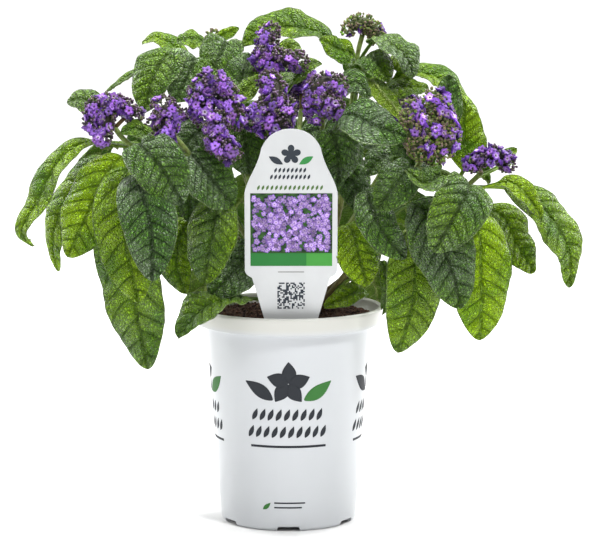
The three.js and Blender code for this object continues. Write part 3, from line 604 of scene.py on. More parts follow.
# The quilting of a leaf: cells to a metre, and how uneven they are
CELL_SCALE = 620.0
CELL_RANDOMNESS = 0.95


def leaf_material(under):
    """A quilted leaf: veins in grooves above, raised below, with puffed cells between them. Its colour
    carries painted shade in the grooves and along the veins and painted highlights on the cell crests; above,
    also a painted silvery sheen and painted glints.
    """
    n = Nodes("leaf_underside" if under else "leaf_top")
    flat = n.node("UVMap", uv_map="flat").outputs[0]
    tone = n.attribute("tone")
    edge = n.attribute("edge")
    rib = n.attribute("rib")
    across = n.attribute("across")
    warp = n.node("TexNoise", {"Vector": flat, "Scale": 160.0, "Detail": 2.0}).outputs["Color"]
    warp = n.vector("SCALE", {0: warp, "Scale": 0.004})
    moved = n.vector("ADD", {0: flat, 1: warp})
    moved = n.vector("MULTIPLY", {0: moved, 1: (0.68, 1.15, 1.0)})
    cells = n.edge_distance(moved, CELL_SCALE, CELL_RANDOMNESS)
    cell_id = n.node("TexVoronoi", {"Vector": moved, "Scale": CELL_SCALE,
                                    "Randomness": CELL_RANDOMNESS}).outputs["Color"]
    # How the cells' height changes towards the leaf's tip, used to paint light and shade on their sides
    shifted = n.vector("ADD", {0: moved, 1: (0.0004, 0.0, 0.0)})
    lit_side_slope = n.math("SUBTRACT", n.edge_distance(shifted, CELL_SCALE, CELL_RANDOMNESS), cells)
    fine = n.edge_distance(moved, 1000.0, 1.0)
    puff = n.between(cells, 0.0, 0.26)
    away = n.math("PINGPONG", rib, 0.5)
    vein = n.times(n.between(away, 0.065, 0.015), n.between(edge, 0.97, 0.7))
    midrib = n.between(across, 1.3, 0.35)
    lines = n.math("MAXIMUM", vein, midrib)
    valley_shade = n.math("MAXIMUM", n.between(away, 0.17, 0.0), n.between(across, 2.6, 0.8))
    patch = n.noise(flat, 38.0)
    if under:
        dark, bright = rgb(92, 128, 58), rgb(172, 202, 56)
        groove = n.plus(0.72, n.times(tone, 0.15))
        crest_highlight = 1.08
        vein_colour = rgb(206, 220, 130)
        vein_share = 0.7
    else:
        dark, bright = rgb(88, 140, 32), rgb(192, 236, 0)
        groove = n.plus(0.42, n.times(tone, 0.46))
        crest_highlight = n.math("SUBTRACT", 1.4, n.times(tone, 0.26))
        vein_colour = n.mix(tone, rgb(28, 50, 20), rgb(128, 172, 34))
        vein_share = 0.58
    colour = n.mix(tone, dark, bright)
    deeper = n.mix(1.0, colour, rgb(168, 194, 140), "MULTIPLY")
    colour = n.mix(n.between(patch, 0.4, 0.7), colour, deeper)
    shade = n.node("SeparateColor", {0: cell_id}).outputs[0]
    # Painted shade in the cells' grooves and painted highlight on their crests
    lightness = n.plus(n.between(puff, 0.0, 1.0, groove, crest_highlight), n.times(shade, 0.1))
    # Painted shade near the veins and the midrib, slightly lighter between them
    deep = 1.0 if under else n.plus(0.72, n.times(tone, 0.18))
    lightness = n.times(lightness, n.between(valley_shade, 0.0, 1.0, 1.08, deep))
    if not under:
        # Painted sheen: patches of pale silvery tint over the upper face, strongest on dark leaves
        painted_shine_patches = n.between(n.noise(flat, 30.0, 2.0), 0.4, 0.62, 0.12, 1.0)
        painted_sheen = n.times(painted_shine_patches, n.between(tone, 0.0, 0.8, 0.6, 0.0))
        colour = n.mix(painted_sheen, colour, rgb(138, 166, 116))
        # Painted shade on the cell sides that face the tip, painted glints on those that face the foot
        lightness = n.times(lightness, n.between(lit_side_slope, -0.02, -0.16, 1.0, 0.68))
        glint = n.times(n.between(lit_side_slope, 0.03, 0.16), n.between(tone, 0.0, 0.75, 0.85, 0.06))
        glint = n.times(glint, painted_shine_patches)
    colour = n.vector("SCALE", {0: colour, "Scale": lightness})
    if not under:
        # Painted glints, mixed in as a pale colour
        colour = n.mix(glint, colour, rgb(188, 208, 176))
    colour = n.mix(n.times(lines, vein_share), colour, vein_colour)
    colour = n.mix(n.between(edge, 0.945, 1.0, 0.0, 0.75), colour, rgb(168, 190, 128))
    height = n.plus(n.times(puff, -0.8 if under else 1.0),
                    n.times(n.between(fine, 0.0, 0.3), 0.22))
    height = n.plus(height, n.times(lines, 0.8 if under else -0.9))
    normal = n.bump(height, 1.0, 0.0028)
    normal = n.bump(n.noise(flat, 2400.0, 2.0), 0.4, 0.0005, normal)
    rough = n.between(n.noise(flat, 120.0), 0.3, 0.7, 0.55 if under else 0.26, 0.7 if under else 0.4)
    glow = n.mix(0.6, colour, rgb(146, 196, 0))
    return n.surface({"Base Color": colour, "Roughness": rough, "Normal": normal, "Sheen Weight": 0.04,
                      "Sheen Roughness": 0.5, "Specular IOR Level": 0.35 if under else 0.5},
                     0.34 if under else 0.2, glow)


def stem_material():
    n = Nodes("stem")
    place = n.place()
    young = n.attribute("tone")
    fleck = n.noise(place, 420.0, 4.0)
    colour = n.mix(young, rgb(104, 84, 42), rgb(128, 152, 70))
    colour = n.mix(n.between(fleck, 0.4, 0.7, 0.0, 0.7), colour, rgb(84, 66, 34))
    normal = n.bump(n.noise(place, 900.0), 0.5, 0.0005)
    return n.surface({"Base Color": colour, "Roughness": 0.62, "Normal": normal, "Sheen Weight": 0.25,
                      "Sheen Roughness": 0.4})


def bloom_material():
    n = Nodes("bloom")
    place = n.place()
    tint = n.attribute("tint", "Color")
    colour = n.mix(n.between(n.noise(place, 700.0), 0.35, 0.7, 0.0, 0.3), tint,
                   n.mix(0.5, tint, rgb(52, 24, 66)))
    normal = n.bump(n.noise(place, 2400.0), 0.35, 0.0004)
    return n.surface({"Base Color": colour, "Roughness": 0.6, "Normal": normal, "Sheen Weight": 0.3,
                      "Sheen Roughness": 0.4, "Specular IOR Level": 0.3}, 0.2,
                     n.mix(0.5, tint, rgb(150, 100, 230)))


def pot_material():
    n = Nodes("pot_plastic")
    place = n.place()
    height = n.node("SeparateXYZ", {0: place}).outputs[2]
    under = (POT_HEIGHT - COLLAR_HEIGHT) * MM
    colour = n.mix(n.between(height, under - 0.001, under + 0.004), rgb(193, 196, 199), rgb(194, 194, 188))
    grain = n.noise(place, 1500.0, 2.0)
    return n.surface({"Base Color": colour, "Roughness": 0.28, "Normal": n.bump(grain, 0.05, 0.0001),
                      "Specular IOR Level": 0.5})


def soil_material():
    n = Nodes("soil")
    place = n.place()
    tint = n.attribute("tint", "Color")
    colour = n.mix(n.between(n.noise(place, 500.0, 5.0), 0.35, 0.7, 0.0, 0.6), tint, rgb(38, 24, 18))
    normal = n.bump(n.noise(place, 900.0, 5.0), 0.8, 0.0009)
    return n.surface({"Base Color": colour, "Roughness": 0.92, "Normal": normal})


def print_material(name, colour, roughness=0.6, gloss=0.2):
    """Ink or plastic of one colour, with the faint grain of a printed sheet."""
    n = Nodes(name)
    place = n.place()
    grain = n.noise(place, 1800.0, 2.0)
    shade = n.mix(n.between(n.noise(place, 60.0), 0.3, 0.7, 0.0, 0.05), colour, (0, 0, 0, 1))
    return n.surface({"Base Color": shade, "Roughness": roughness, "Normal": n.bump(grain, 0.08, 0.0001),
                      "Specular IOR Level": gloss})


def panel_material():
    """The label's picture of flowers, coloured point by point where its petals and leaves lie."""
    n = Nodes("label_picture")
    tint = n.attribute("tint", "Color")
    place = n.place()
    colour = n.mix(n.between(n.noise(place, 900.0), 0.4, 0.7, 0.0, 0.2), tint, rgb(40, 34, 66))
    return n.surface({"Base Color": colour, "Roughness": 0.6, "Specular IOR Level": 0.15,
                      "Normal": n.bump(n.noise(place, 1800.0), 0.05, 0.0001)})


# Pot

# The base stands on a ring this wide, and its middle is this high off the floor
FOOT_RING = 4.0
RECESS = 1.5


def make_pot():
    under = POT_HEIGHT - COLLAR_HEIGHT
    inside = BODY_TOP_RADIUS - WALL
    lip = []
    for angle in np.linspace(0, math.pi, 9):
        lip.append([LIP_RADIUS - 1.5 + 1.5 * math.cos(angle), POT_HEIGHT - 1.4 + 1.4 * math.sin(angle)])
    foot = []
    for angle in np.linspace(-math.pi / 2, 0, 6):
        foot.append([BODY_FOOT_RADIUS - 2.6 + 2.6 * math.cos(angle), 2.6 + 2.6 * math.sin(angle)])
    ring = BODY_FOOT_RADIUS - FOOT_RING
    profile = [[0, RECESS], [ring - 0.6, RECESS], [ring, 0.0], *foot,
               [BODY_TOP_RADIUS - 0.15, under - 3.2], [BODY_TOP_RADIUS, under - 1.7],
               [BODY_TOP_RADIUS + 0.5, under - 0.7], [BODY_TOP_RADIUS + 1.4, under - 0.2],
               [LIP_RADIUS - 2.3, under], [LIP_RADIUS - 1.6, under + 0.35], [LIP_RADIUS - 1.35, under + 1.0],
               [LIP_RADIUS - 0.15, POT_HEIGHT - 2.4], *lip,
               [LIP_RADIUS - 4.0, under + 2.2], [LIP_RADIUS - 4.6, under + 1.6], [inside + 0.6, under + 0.6],
               [inside, under - 0.4], [BODY_FOOT_RADIUS - WALL, FLOOR_TOP + 0.8],
               [BODY_FOOT_RADIUS - WALL - 1, FLOOR_TOP], [0, FLOOR_TOP]]
    build = Build()
    lathe(build, profile, POT_SIDES)
    pot = build.piece("pot_shell", [pot_material()], ["pot"])
    cutters = Build()
    for i in range(NOTCH_COUNT):
        turn = 2 * math.pi * i / NOTCH_COUNT
        box = []
        for z, half in ((-1.0, NOTCH_WIDTH / 2 + 0.4), (NOTCH_HEIGHT, NOTCH_WIDTH / 2 - 0.9)):
            for x, y in ((-half, -3), (half, -3), (half, 3), (-half, 3)):
                along = -BODY_FOOT_RADIUS + (FOOT_RING + 1 if y > 0 else -3)
                box.append([x * math.cos(turn) - along * math.sin(turn),
                            x * math.sin(turn) + along * math.cos(turn), z])
        quads = [[3, 2, 1, 0], [4, 5, 6, 7], [0, 1, 5, 4], [1, 2, 6, 5], [2, 3, 7, 6], [3, 0, 4, 7]]
        cutters.add(box, quads)
    mesh = bpy.data.meshes.new("notches")
    points = np.vstack(cutters.points) * MM
    mesh.from_pydata(points.tolist(), [], np.vstack(cutters.faces).tolist())
    cutter = show("notches", mesh)
    cut = pot.modifiers.new("notches", "BOOLEAN")
    cut.object = cutter
    cut.operation = "DIFFERENCE"
    cut.solver = "EXACT"
    shaped = bpy.data.meshes.new_from_object(pot.evaluated_get(bpy.context.evaluated_depsgraph_get()))
    pot.modifiers.clear()
    pot.data = shaped
    bpy.data.objects.remove(cutter)
    shaped.set_sharp_from_angle(angle=math.radians(38))


# Prints on the pot: a flower with two leaves over two rows of sprigs and a bar, repeated four times
# round it. One small leaf and two short bars stand below the front one.

PRINT_LIFT = 0.08
PRINT_STEP = 1.2
PRINT_TURNS = (0, 90, 180, 270)
SPRIG_STEP = 4.9


def body_radius(z):
    share = (z - 2.6) / (POT_HEIGHT - COLLAR_HEIGHT - 3.2 - 2.6)
    return BODY_FOOT_RADIUS + (BODY_TOP_RADIUS - 0.15 - BODY_FOOT_RADIUS) * share


def wrap(build, x, z, turn, slot):
    """A closed thin shell on the pot's wall over a grid of places: x along the wall from the turn, z up."""
    rows, columns = x.shape
    angle = x / body_radius(z) + math.radians(turn)
    shells = []
    for lift in (PRINT_LIFT, -0.05):
        radius = body_radius(z) + lift
        shells.append(np.stack([radius * np.sin(angle), -radius * np.cos(angle), z], -1).reshape(-1, 3))
    close(build, *shells, rows, columns, (slot, slot))


def close(build, front, back, rows, columns, slots=(0, 0), turn=1, **values):
    """Two grids of one size as a closed shell.

    With turn -1 both grids face the other way, and the rims, which don't turn, point inwards.
    """
    grid = grid_faces(rows, columns)
    count = rows * columns
    build.add(front, grid[:, ::turn], slots[0], **values)
    build.add(back, grid[:, ::-turn], slots[1], **values)
    first = build.count - 2 * count
    i = np.arange(rows - 1)
    j = np.arange(columns - 1)
    rims = []
    for line, step, way in ((i * columns, columns, 1), (i * columns + columns - 1, columns, -1),
                            (j, 1, -1), (j + (rows - 1) * columns, 1, 1)):
        a = first + line
        rims.append(np.column_stack([a, a + step, a + step + count, a + count])[:, ::way])
    build.join(np.vstack(rims), slots[1])


def wrap_bar(build, x0, x1, z0, z1, turn, slot):
    across = np.linspace(x0, x1, max(2, int((x1 - x0) / PRINT_STEP) + 1))
    x, z = np.meshgrid(across, [z0, z1])
    wrap(build, x, z, turn, slot)


def wrap_leaf(build, x, z, length, width, lean, turn, slot):
    """A pointed leaf from its foot, leaning from upright."""
    large = length > 10
    t = np.linspace(0.02, 0.98, 14 if large else 9)[:, None]
    v = np.linspace(-1, 1, 7 if large else 5)[None]
    half = width / 2 * np.sin(np.pi * t ** 0.85)
    along = length * t
    side = half * v + 0.12 * length * t * (1 - t)
    lean = math.radians(lean)
    wrap(build, x + along * math.sin(lean) + side * math.cos(lean),
         z + along * math.cos(lean) - side * math.sin(lean), turn, slot)


def make_pot_prints():
    grey = print_material("pot_print_grey", rgb(44, 47, 52))
    green = print_material("pot_print_green", rgb(58, 112, 54))
    build = Build()
    for turn in PRINT_TURNS:
        for petal in range(5):
            wrap_leaf(build, 0, 90, 13.5, 8.6, 72 * petal, turn, 0)
        wrap_leaf(build, 9, 80, 21, 8, 58, turn, 1)
        wrap_leaf(build, -9, 80, 21, 8, -58, turn, 0)
        for row_foot, sprigs in ((67.6, 9), (57.2, 10)):
            for i in range(sprigs):
                wrap_leaf(build, SPRIG_STEP * (i - sprigs / 2), row_foot, 8.0, 3.0, 24, turn, 0)
        wrap_bar(build, -23, 23, 51.2, 52.6, turn, 0)
    wrap_leaf(build, -15.5, 13.2, 6.5, 2.6, 48, 0, 1)
    wrap_bar(build, -8.5, 10, 17.0, 17.9, 0, 0)
    wrap_bar(build, -8.5, 8, 14.2, 15.1, 0, 0)
    build.piece("pot_prints", [grey, green])


# Soil

SOIL_RINGS = 50
SOIL_SIDES = 150
SOIL_LUMPS = 1500


def soil_height(x, y):
    radius = np.hypot(x, y) / (LIP_RADIUS - 4.6)
    lumps = 0.9 * np.sin(x * 0.41 + 5) * np.cos(y * 0.53 - 5)
    crumbs = 0.5 * np.sin(x * 1.9 + 2 * np.sin(y * 0.7)) * np.sin(y * 2.3 + 1.5 * np.sin(x * 0.9))
    return SOIL_EDGE_TOP + SOIL_CROWN * (1 - radius**2) + lumps + crumbs


def make_soil():
    random_draw = np.random.default_rng(11)
    build = Build()
    outer = LIP_RADIUS - 4.6
    radii = np.linspace(outer, 0.4, SOIL_RINGS)
    angles = np.linspace(0, 2 * np.pi, SOIL_SIDES, endpoint=False)
    x = radii[:, None] * np.cos(angles)
    y = radii[:, None] * np.sin(angles)
    z = soil_height(x, y) + random_draw.normal(0, 0.22, x.shape)
    top = np.stack([x, y, z], -1)
    under = POT_HEIGHT - COLLAR_HEIGHT
    skirt = []
    c, s = np.cos(angles), np.sin(angles)
    for radius, height in ((BODY_FOOT_RADIUS - 2.2, FLOOR_TOP + 0.3), (BODY_TOP_RADIUS - 2.4, under - 0.6),
                           (BODY_TOP_RADIUS - 2.2, under + 1.2), (outer, under + 2.6)):
        skirt.append(np.stack([radius * c, radius * s, np.full(SOIL_SIDES, height)], -1))
    points = np.concatenate([np.array(skirt), top])
    shade = random_draw.uniform(0, 1, (len(points) * SOIL_SIDES, 1))
    tint = np.array(rgb(62, 40, 30)[:3]) * (1 - shade) + np.array(rgb(96, 66, 52)[:3]) * shade
    build.add(points, grid_faces(len(points), SOIL_SIDES, closed=True), tint=tint)
    build.cap(0, SOIL_SIDES, -1)
    build.cap((len(points) - 1) * SOIL_SIDES, SOIL_SIDES, 1)
    lump = np.array([[1, 0, 0], [-1, 0, 0], [0, 1, 0], [0, -1, 0], [0, 0, 1], [0, 0, -1]], float)
    sides = np.array([[0, 2, 4], [2, 1, 4], [1, 3, 4], [3, 0, 4], [2, 0, 5], [1, 2, 5], [3, 1, 5], [0, 3, 5]])
    for _ in range(SOIL_LUMPS):
        radius = (outer - 1.5) * math.sqrt(random_draw.uniform())
        angle = random_draw.uniform(0, 2 * math.pi)
        cx, cy = radius * math.cos(angle), radius * math.sin(angle)
        size = random_draw.uniform(0.3, 1.3) * random_draw.uniform(0.6, 1.0, 3)
        axes, _ = np.linalg.qr(random_draw.normal(size=(3, 3)))
        body = (lump * size + random_draw.normal(0, 0.12, lump.shape)) @ axes
        body += [cx, cy, soil_height(cx, cy) + 0.3 * size.mean()]
        pale = random_draw.uniform()
        base = (124, 92, 74) if pale > 0.8 else (84, 56, 42) if pale > 0.45 else (50, 33, 26)
        build.add(body, sides, tint=np.broadcast_to(rgb(*base)[:3], (6, 3)))
    build.piece("soil_crumbs", [soil_material()], ["soil"], smooth=False)


# Leaves

PETIOLE_ROWS = 7
# How far apart the points of a blade are along it and across it
ROW_STEP = 1.2
COLUMN_STEP = 1.3
# The half width that the heights of a blade's quilting are given for
QUILT_WIDTH = 16


def outline(u):
    """Half width along a blade as a share of its widest: oval, widest before the middle, pointed."""
    return np.sin(np.pi * np.clip(u, 0, 1) ** 0.88) ** 0.58


def leaf(build, stem_curve, row, order):
    """A leaf on its stalk, its waves set by its order. Its upper face has slot 0, the rest slot 1."""
    place, half_width, facing, tilt, fold, tone, midrib_points = row
    root = stem_curve.at(place)[0]
    curve = Curve([root, *midrib_points])
    reach = curve.lengths[round(Curve.SAMPLES / len(midrib_points))]
    start = 0.85 * reach / curve.length
    facing, tilt, fold = (math.radians(a) for a in (facing, tilt, fold))
    face = np.array([math.sin(facing) * math.cos(tilt), -math.cos(facing) * math.cos(tilt), math.sin(tilt)])
    chord = np.array(midrib_points[-1], float) - midrib_points[0]
    side = unit(np.cross(face, chord))
    blade_length = curve.length * (1 - start)
    rows = int(np.clip(blade_length / ROW_STEP, 22, 84))
    columns = 2 * int(np.clip(half_width / COLUMN_STEP, 5, 15)) + 1
    shares = np.concatenate([np.linspace(0, start, PETIOLE_ROWS, endpoint=False),
                             start + (1 - start) * (1 - np.cos(np.linspace(0, np.pi, rows))) / 2 * 0.35
                             + (1 - start) * np.linspace(0, 1, rows) * 0.65])
    u = (shares - start) / (1 - start)
    blade = np.clip(u, 0, 1)
    tangents = curve.tangent(shares)
    across = unit(side - (tangents @ side)[:, None] * tangents)
    normal = np.cross(tangents, across)
    v = np.linspace(-1, 1, columns)
    v = np.sign(v) * np.abs(v) ** 1.05
    width = np.maximum(half_width * outline(blade), PETIOLE_HALF_WIDTH * smooth_step((1 - blade) * 8))
    width = np.maximum(width, 0.25)
    spread = smooth_step(blade / 0.12)[:, None]
    w = width[:, None]
    x = w * v
    s = (blade * blade_length)[:, None]
    size = half_width / QUILT_WIDTH
    pitch = max(4.6, blade_length / 8)
    side_shift = np.where(v > 0, 0.37, 0.0) + 0.1 * np.sin(0.23 * s + 2.1 * order + np.where(v > 0, 1.7, 0.0))
    rib = (s - 0.42 * np.abs(x) - 0.02 * x**2) / pitch + 0.5 + side_shift
    gap = np.abs(rib - np.round(rib)) * pitch
    inner = 1 - np.abs(v) ** 6
    groove = 0.7 * size * np.exp(-((gap / 0.85) ** 2)) * inner
    puff = 0.95 * size * np.sin(np.pi * np.abs(rib - np.round(rib))) ** 1.4 * (1 - np.abs(v) ** 3)
    trough = 0.75 * np.exp(-((x / 1.5) ** 2))
    pebbles = 0.17 * np.sin(s * 2.1 + 1.4 * np.sin(x * 0.9 + order)) * np.sin(x * 2.2 + 1.2 * np.sin(s * 0.8))
    relief = (puff - groove - trough + pebbles * inner) * spread
    phase = 1.7 * order + np.where(v > 0, 1.9, 0)
    wave = WAVE_HEIGHT * w * v**2 * np.sin(2 * np.pi * WAVES * blade[:, None] + phase)
    ruffle = 0.02 * w * v**4 * np.sin(2 * np.pi * rib)
    bend = w * (math.sin(fold) * np.abs(v) - LEAF_CURL * v**2)
    half = PETIOLE_THICKNESS / 2 * (1 - spread) + LEAF_THICKNESS / 2 * spread * (1 - 0.5 * np.abs(v) ** 4)
    round_section = np.sqrt(np.clip(1 - v**2, 0, 1))
    over = half * (round_section * (1 - spread) + spread)
    ridge = (1.0 * size * (1 - 0.8 * blade[:, None]) * np.exp(-((x / 1.1) ** 2))
             + 0.3 * size * np.exp(-((gap / 0.7) ** 2)) * inner) * spread
    centre = curve.at(shares)[:, None]
    base = centre + across[:, None] * (x * ((1 - spread) + spread * math.cos(fold)))[..., None]
    lift = (bend + wave + ruffle) * spread
    top = base + normal[:, None] * (lift + relief + over)[..., None]
    bottom = base + normal[:, None] * (lift + relief - over - ridge)[..., None]
    values = {
        "tone": np.full(x.size, tone),
        "edge": np.broadcast_to(np.abs(v), x.shape).ravel(),
        "rib": rib.ravel(),
        "across": np.abs(x).ravel(),
        "flat": np.stack([s + order * 97 + 0 * x, x + order * 61], -1).reshape(-1, 2) * MM,
    }
    close(build, top, bottom, len(shares), columns, (0, 1), -1, **values)


STEM_SIDES = 14


def stem_tube(build, curve):
    shares = np.linspace(0, 1, max(24, int(curve.length / 2.2)))
    radii = STEM_FOOT_RADIUS + (STEM_TIP_RADIUS - STEM_FOOT_RADIUS) * shares
    radii = radii * (1 + 0.05 * np.sin(shares * 46))
    tone = np.repeat(smooth_step((shares - 0.15) / 0.6), STEM_SIDES)
    zero = np.zeros(len(tone))
    tube(build, curve, radii, STEM_SIDES, shares, slot=2, tone=tone, edge=zero, rib=zero, across=zero,
         flat=np.zeros((len(tone), 2)))


def make_leafy_stems():
    materials = [leaf_material(False), leaf_material(True), stem_material()]
    order = 0
    for stem in STEMS:
        build = Build()
        curve = Curve([*([*stem["foot"], z] for z in FOOT_HEIGHTS), *stem["path"]])
        stem_tube(build, curve)
        for row in stem["leaves"]:
            leaf(build, curve, row, order)
            order += 1
        build.piece("foliage_" + stem["name"], materials, ["leafy_stem_" + stem["name"]])


# Blooms

FLORET_SIZE = 3.2
LOBES = 5
PETAL_STEPS = 4
BUD_SIDES = 5
STALK_SIDES = 8
# The surface of a band, in square millimetres, that a floret takes, and a bud of the layer between them
FLORET_AREA = 18
BUD_AREA = 9
# Buds that stand in place of a floret that isn't open
BUDS_FOR_CLOSED = 5
PALE_EYED_SHARE = 0.36
# How much of a band's width its dome of florets takes, so that the bands of a head stay apart
HEAD_SHARE = 0.88
# A turn that is drawn at random lies between 0 and this, a full turn to two places
FULL_TURN = 6.28
# A head whose florets must lie further than this in its ripe way to be open is mostly young and green
YOUNG_FROM = 0.4

# The way in which each head's florets have opened first, and how far they must lie that way to be open
RIPENESS = {
    "far_left": (-0.2, -0.6, -0.1, 0.2), "front_left": (0.1, -0.8, -0.4, 0.1),
    "centre_left": (-0.3, -0.8, 0.1, 0.1), "front": (0.1, -0.8, -0.3, 0.1),
    "top": (-0.7, -0.5, -0.4, 0.1), "front_right": (-0.1, -0.8, -0.5, 0.2),
    "back_left_top": (0.3, 0.6, -0.2, 0.5), "back_right_top": (0.8, -0.3, -0.6, 0.8),
    "right": (0.85, -0.2, 0.35, 0.45), "far_right": (0.2, -0.4, 0.7, 0.1),
    "others": (0.2, -0.3, -0.4, -0.2),
}


def ring_faces(rows, steps):
    """The triangles between rings of points, the places in a ring and those after them."""
    quads = grid_faces(rows, steps, closed=True)
    ring = np.arange(steps)
    return np.vstack([quads[:, [0, 1, 2]], quads[:, [0, 2, 3]]]), ring, (ring + 1) % steps


def floret_shape(ring_tint):
    """A five-lobed corolla on a short tube: rings from the eye to the lobes, closed below."""
    steps = LOBES * PETAL_STEPS
    angles = np.linspace(0, 2 * np.pi, steps, endpoint=False)
    lobe = 0.68 + 0.32 * np.abs(np.cos(angles * LOBES / 2)) ** 0.6
    rings = []
    tints = []
    # Each lobe is lighter across its middle and darker at its rim: painted highlight and painted shade
    for share, height, tint in ((0.13, -0.14, (96, 60, 40)), (0.24, -0.02, ring_tint),
                                (0.58, 0.10, (172, 118, 224)), (1.0, -0.02, (94, 46, 156))):
        reach = share * (lobe if share > 0.5 else 1 + 0 * lobe)
        rings.append(np.stack([reach * np.cos(angles), reach * np.sin(angles),
                               height + 0.06 * np.cos(angles * LOBES) * share], -1))
        tints.append(np.tile(rgb(*tint)[:3], (steps, 1)))
    points = np.vstack([*rings, [[0, 0, -0.30]], [[0, 0, -0.95]]])
    tints = np.vstack([*tints, [rgb(40, 16, 26)[:3]], [rgb(46, 32, 44)[:3]]])
    faces, ring, after = ring_faces(len(rings), steps)
    eye = np.column_stack([np.full(steps, len(rings) * steps), after, ring])
    last = (len(rings) - 1) * steps
    below = np.column_stack([np.full(steps, len(rings) * steps + 1), last + ring, last + after])
    return points, np.vstack([faces[:, ::-1], eye[:, ::-1], below[:, ::-1]]), tints


def bud_shape(tip_tint, leafy):
    """A pointed bud in its calyx, greener and less violet the more leafy it is."""
    steps = BUD_SIDES
    angles = np.linspace(0, 2 * np.pi, steps, endpoint=False)
    rings = []
    tints = []
    for radius, height, ripe, young in ((0.5, -0.3, (106, 120, 50), (154, 178, 74)),
                                        (0.72, 0.15, (94, 86, 50), (146, 166, 74)),
                                        (0.55, 0.75, (84, 44, 88), (128, 116, 74))):
        rings.append(np.stack([radius * np.cos(angles), radius * np.sin(angles), np.full(steps, height)], -1))
        tint = (1 - leafy) * np.array(rgb(*ripe)[:3]) + leafy * np.array(rgb(*young)[:3])
        tints.append(np.tile(tint, (steps, 1)))
    points = np.vstack([*rings, [[0, 0, 1.15]], [[0, 0, -0.9]]])
    tints = np.vstack([*tints, [rgb(*tip_tint)[:3]], [rgb(80, 96, 50)[:3]]])
    faces, ring, after = ring_faces(len(rings), steps)
    top = np.column_stack([np.full(steps, 3 * steps), 2 * steps + ring, 2 * steps + after])
    base = np.column_stack([np.full(steps, 3 * steps + 1), after, ring])
    return points, np.vstack([faces, top, base]), tints


def bud_tints(draw, count):
    """How each bud's colour is scaled: lighter or darker, and a third of them greener."""
    greener = draw.uniform(size=(count, 1)) < 0.33
    return draw.uniform(0.45, 1.3, (count, 1)) * np.where(greener, [1.0, 1.5, 0.6], [1.0, 1.0, 1.0])


def scatter(build, shape, centres, outward, sizes, turns, tint_scale):
    """Copies of a small shape, each turned to face outward."""
    points, faces, tints = shape
    side = unit(np.cross(outward, np.array([0.31, 0.22, 0.93])))
    other = np.cross(outward, side)
    c, s = np.cos(turns)[:, None], np.sin(turns)[:, None]
    a = side * c + other * s
    b = np.cross(outward, a)
    axes = np.stack([a, b, outward], 1)
    placed = np.einsum("pk,nkj->npj", points, axes) * sizes[:, None, None] + centres[:, None]
    count = len(centres)
    shift = (np.arange(count) * len(points))[:, None, None]
    tint = tints[None] * tint_scale[:, None, :]
    build.add(placed.reshape(-1, 3), (faces[None] + shift).reshape(-1, 3), 0, tint=tint.reshape(-1, 3))


def band_places(curve, radius, count, draw, spread):
    """Places over a band, its ends too, spaced by the golden angle: centres and outward directions."""
    overhang = 0.6 * radius
    along = -overhang + (curve.length + 2 * overhang) * (np.arange(count) + 0.5) / count
    along += draw.normal(0, spread, count)
    share = np.clip(along / curve.length, 0, 1)
    beyond = np.clip((along - share * curve.length) / overhang, -0.97, 0.97)[:, None]
    angles = np.arange(count) * math.pi * (3 - math.sqrt(5)) + draw.normal(0, 0.25, count)
    steps = np.linspace(0, 1, 41)
    normals, binormals = curve.frames(steps)
    nearest = np.round(share * 40).astype(int)
    radial = normals[nearest] * np.cos(angles)[:, None] + binormals[nearest] * np.sin(angles)[:, None]
    outward = unit(radial * np.sqrt(1 - beyond**2) + curve.tangent(share) * beyond)
    return curve.at(share), outward


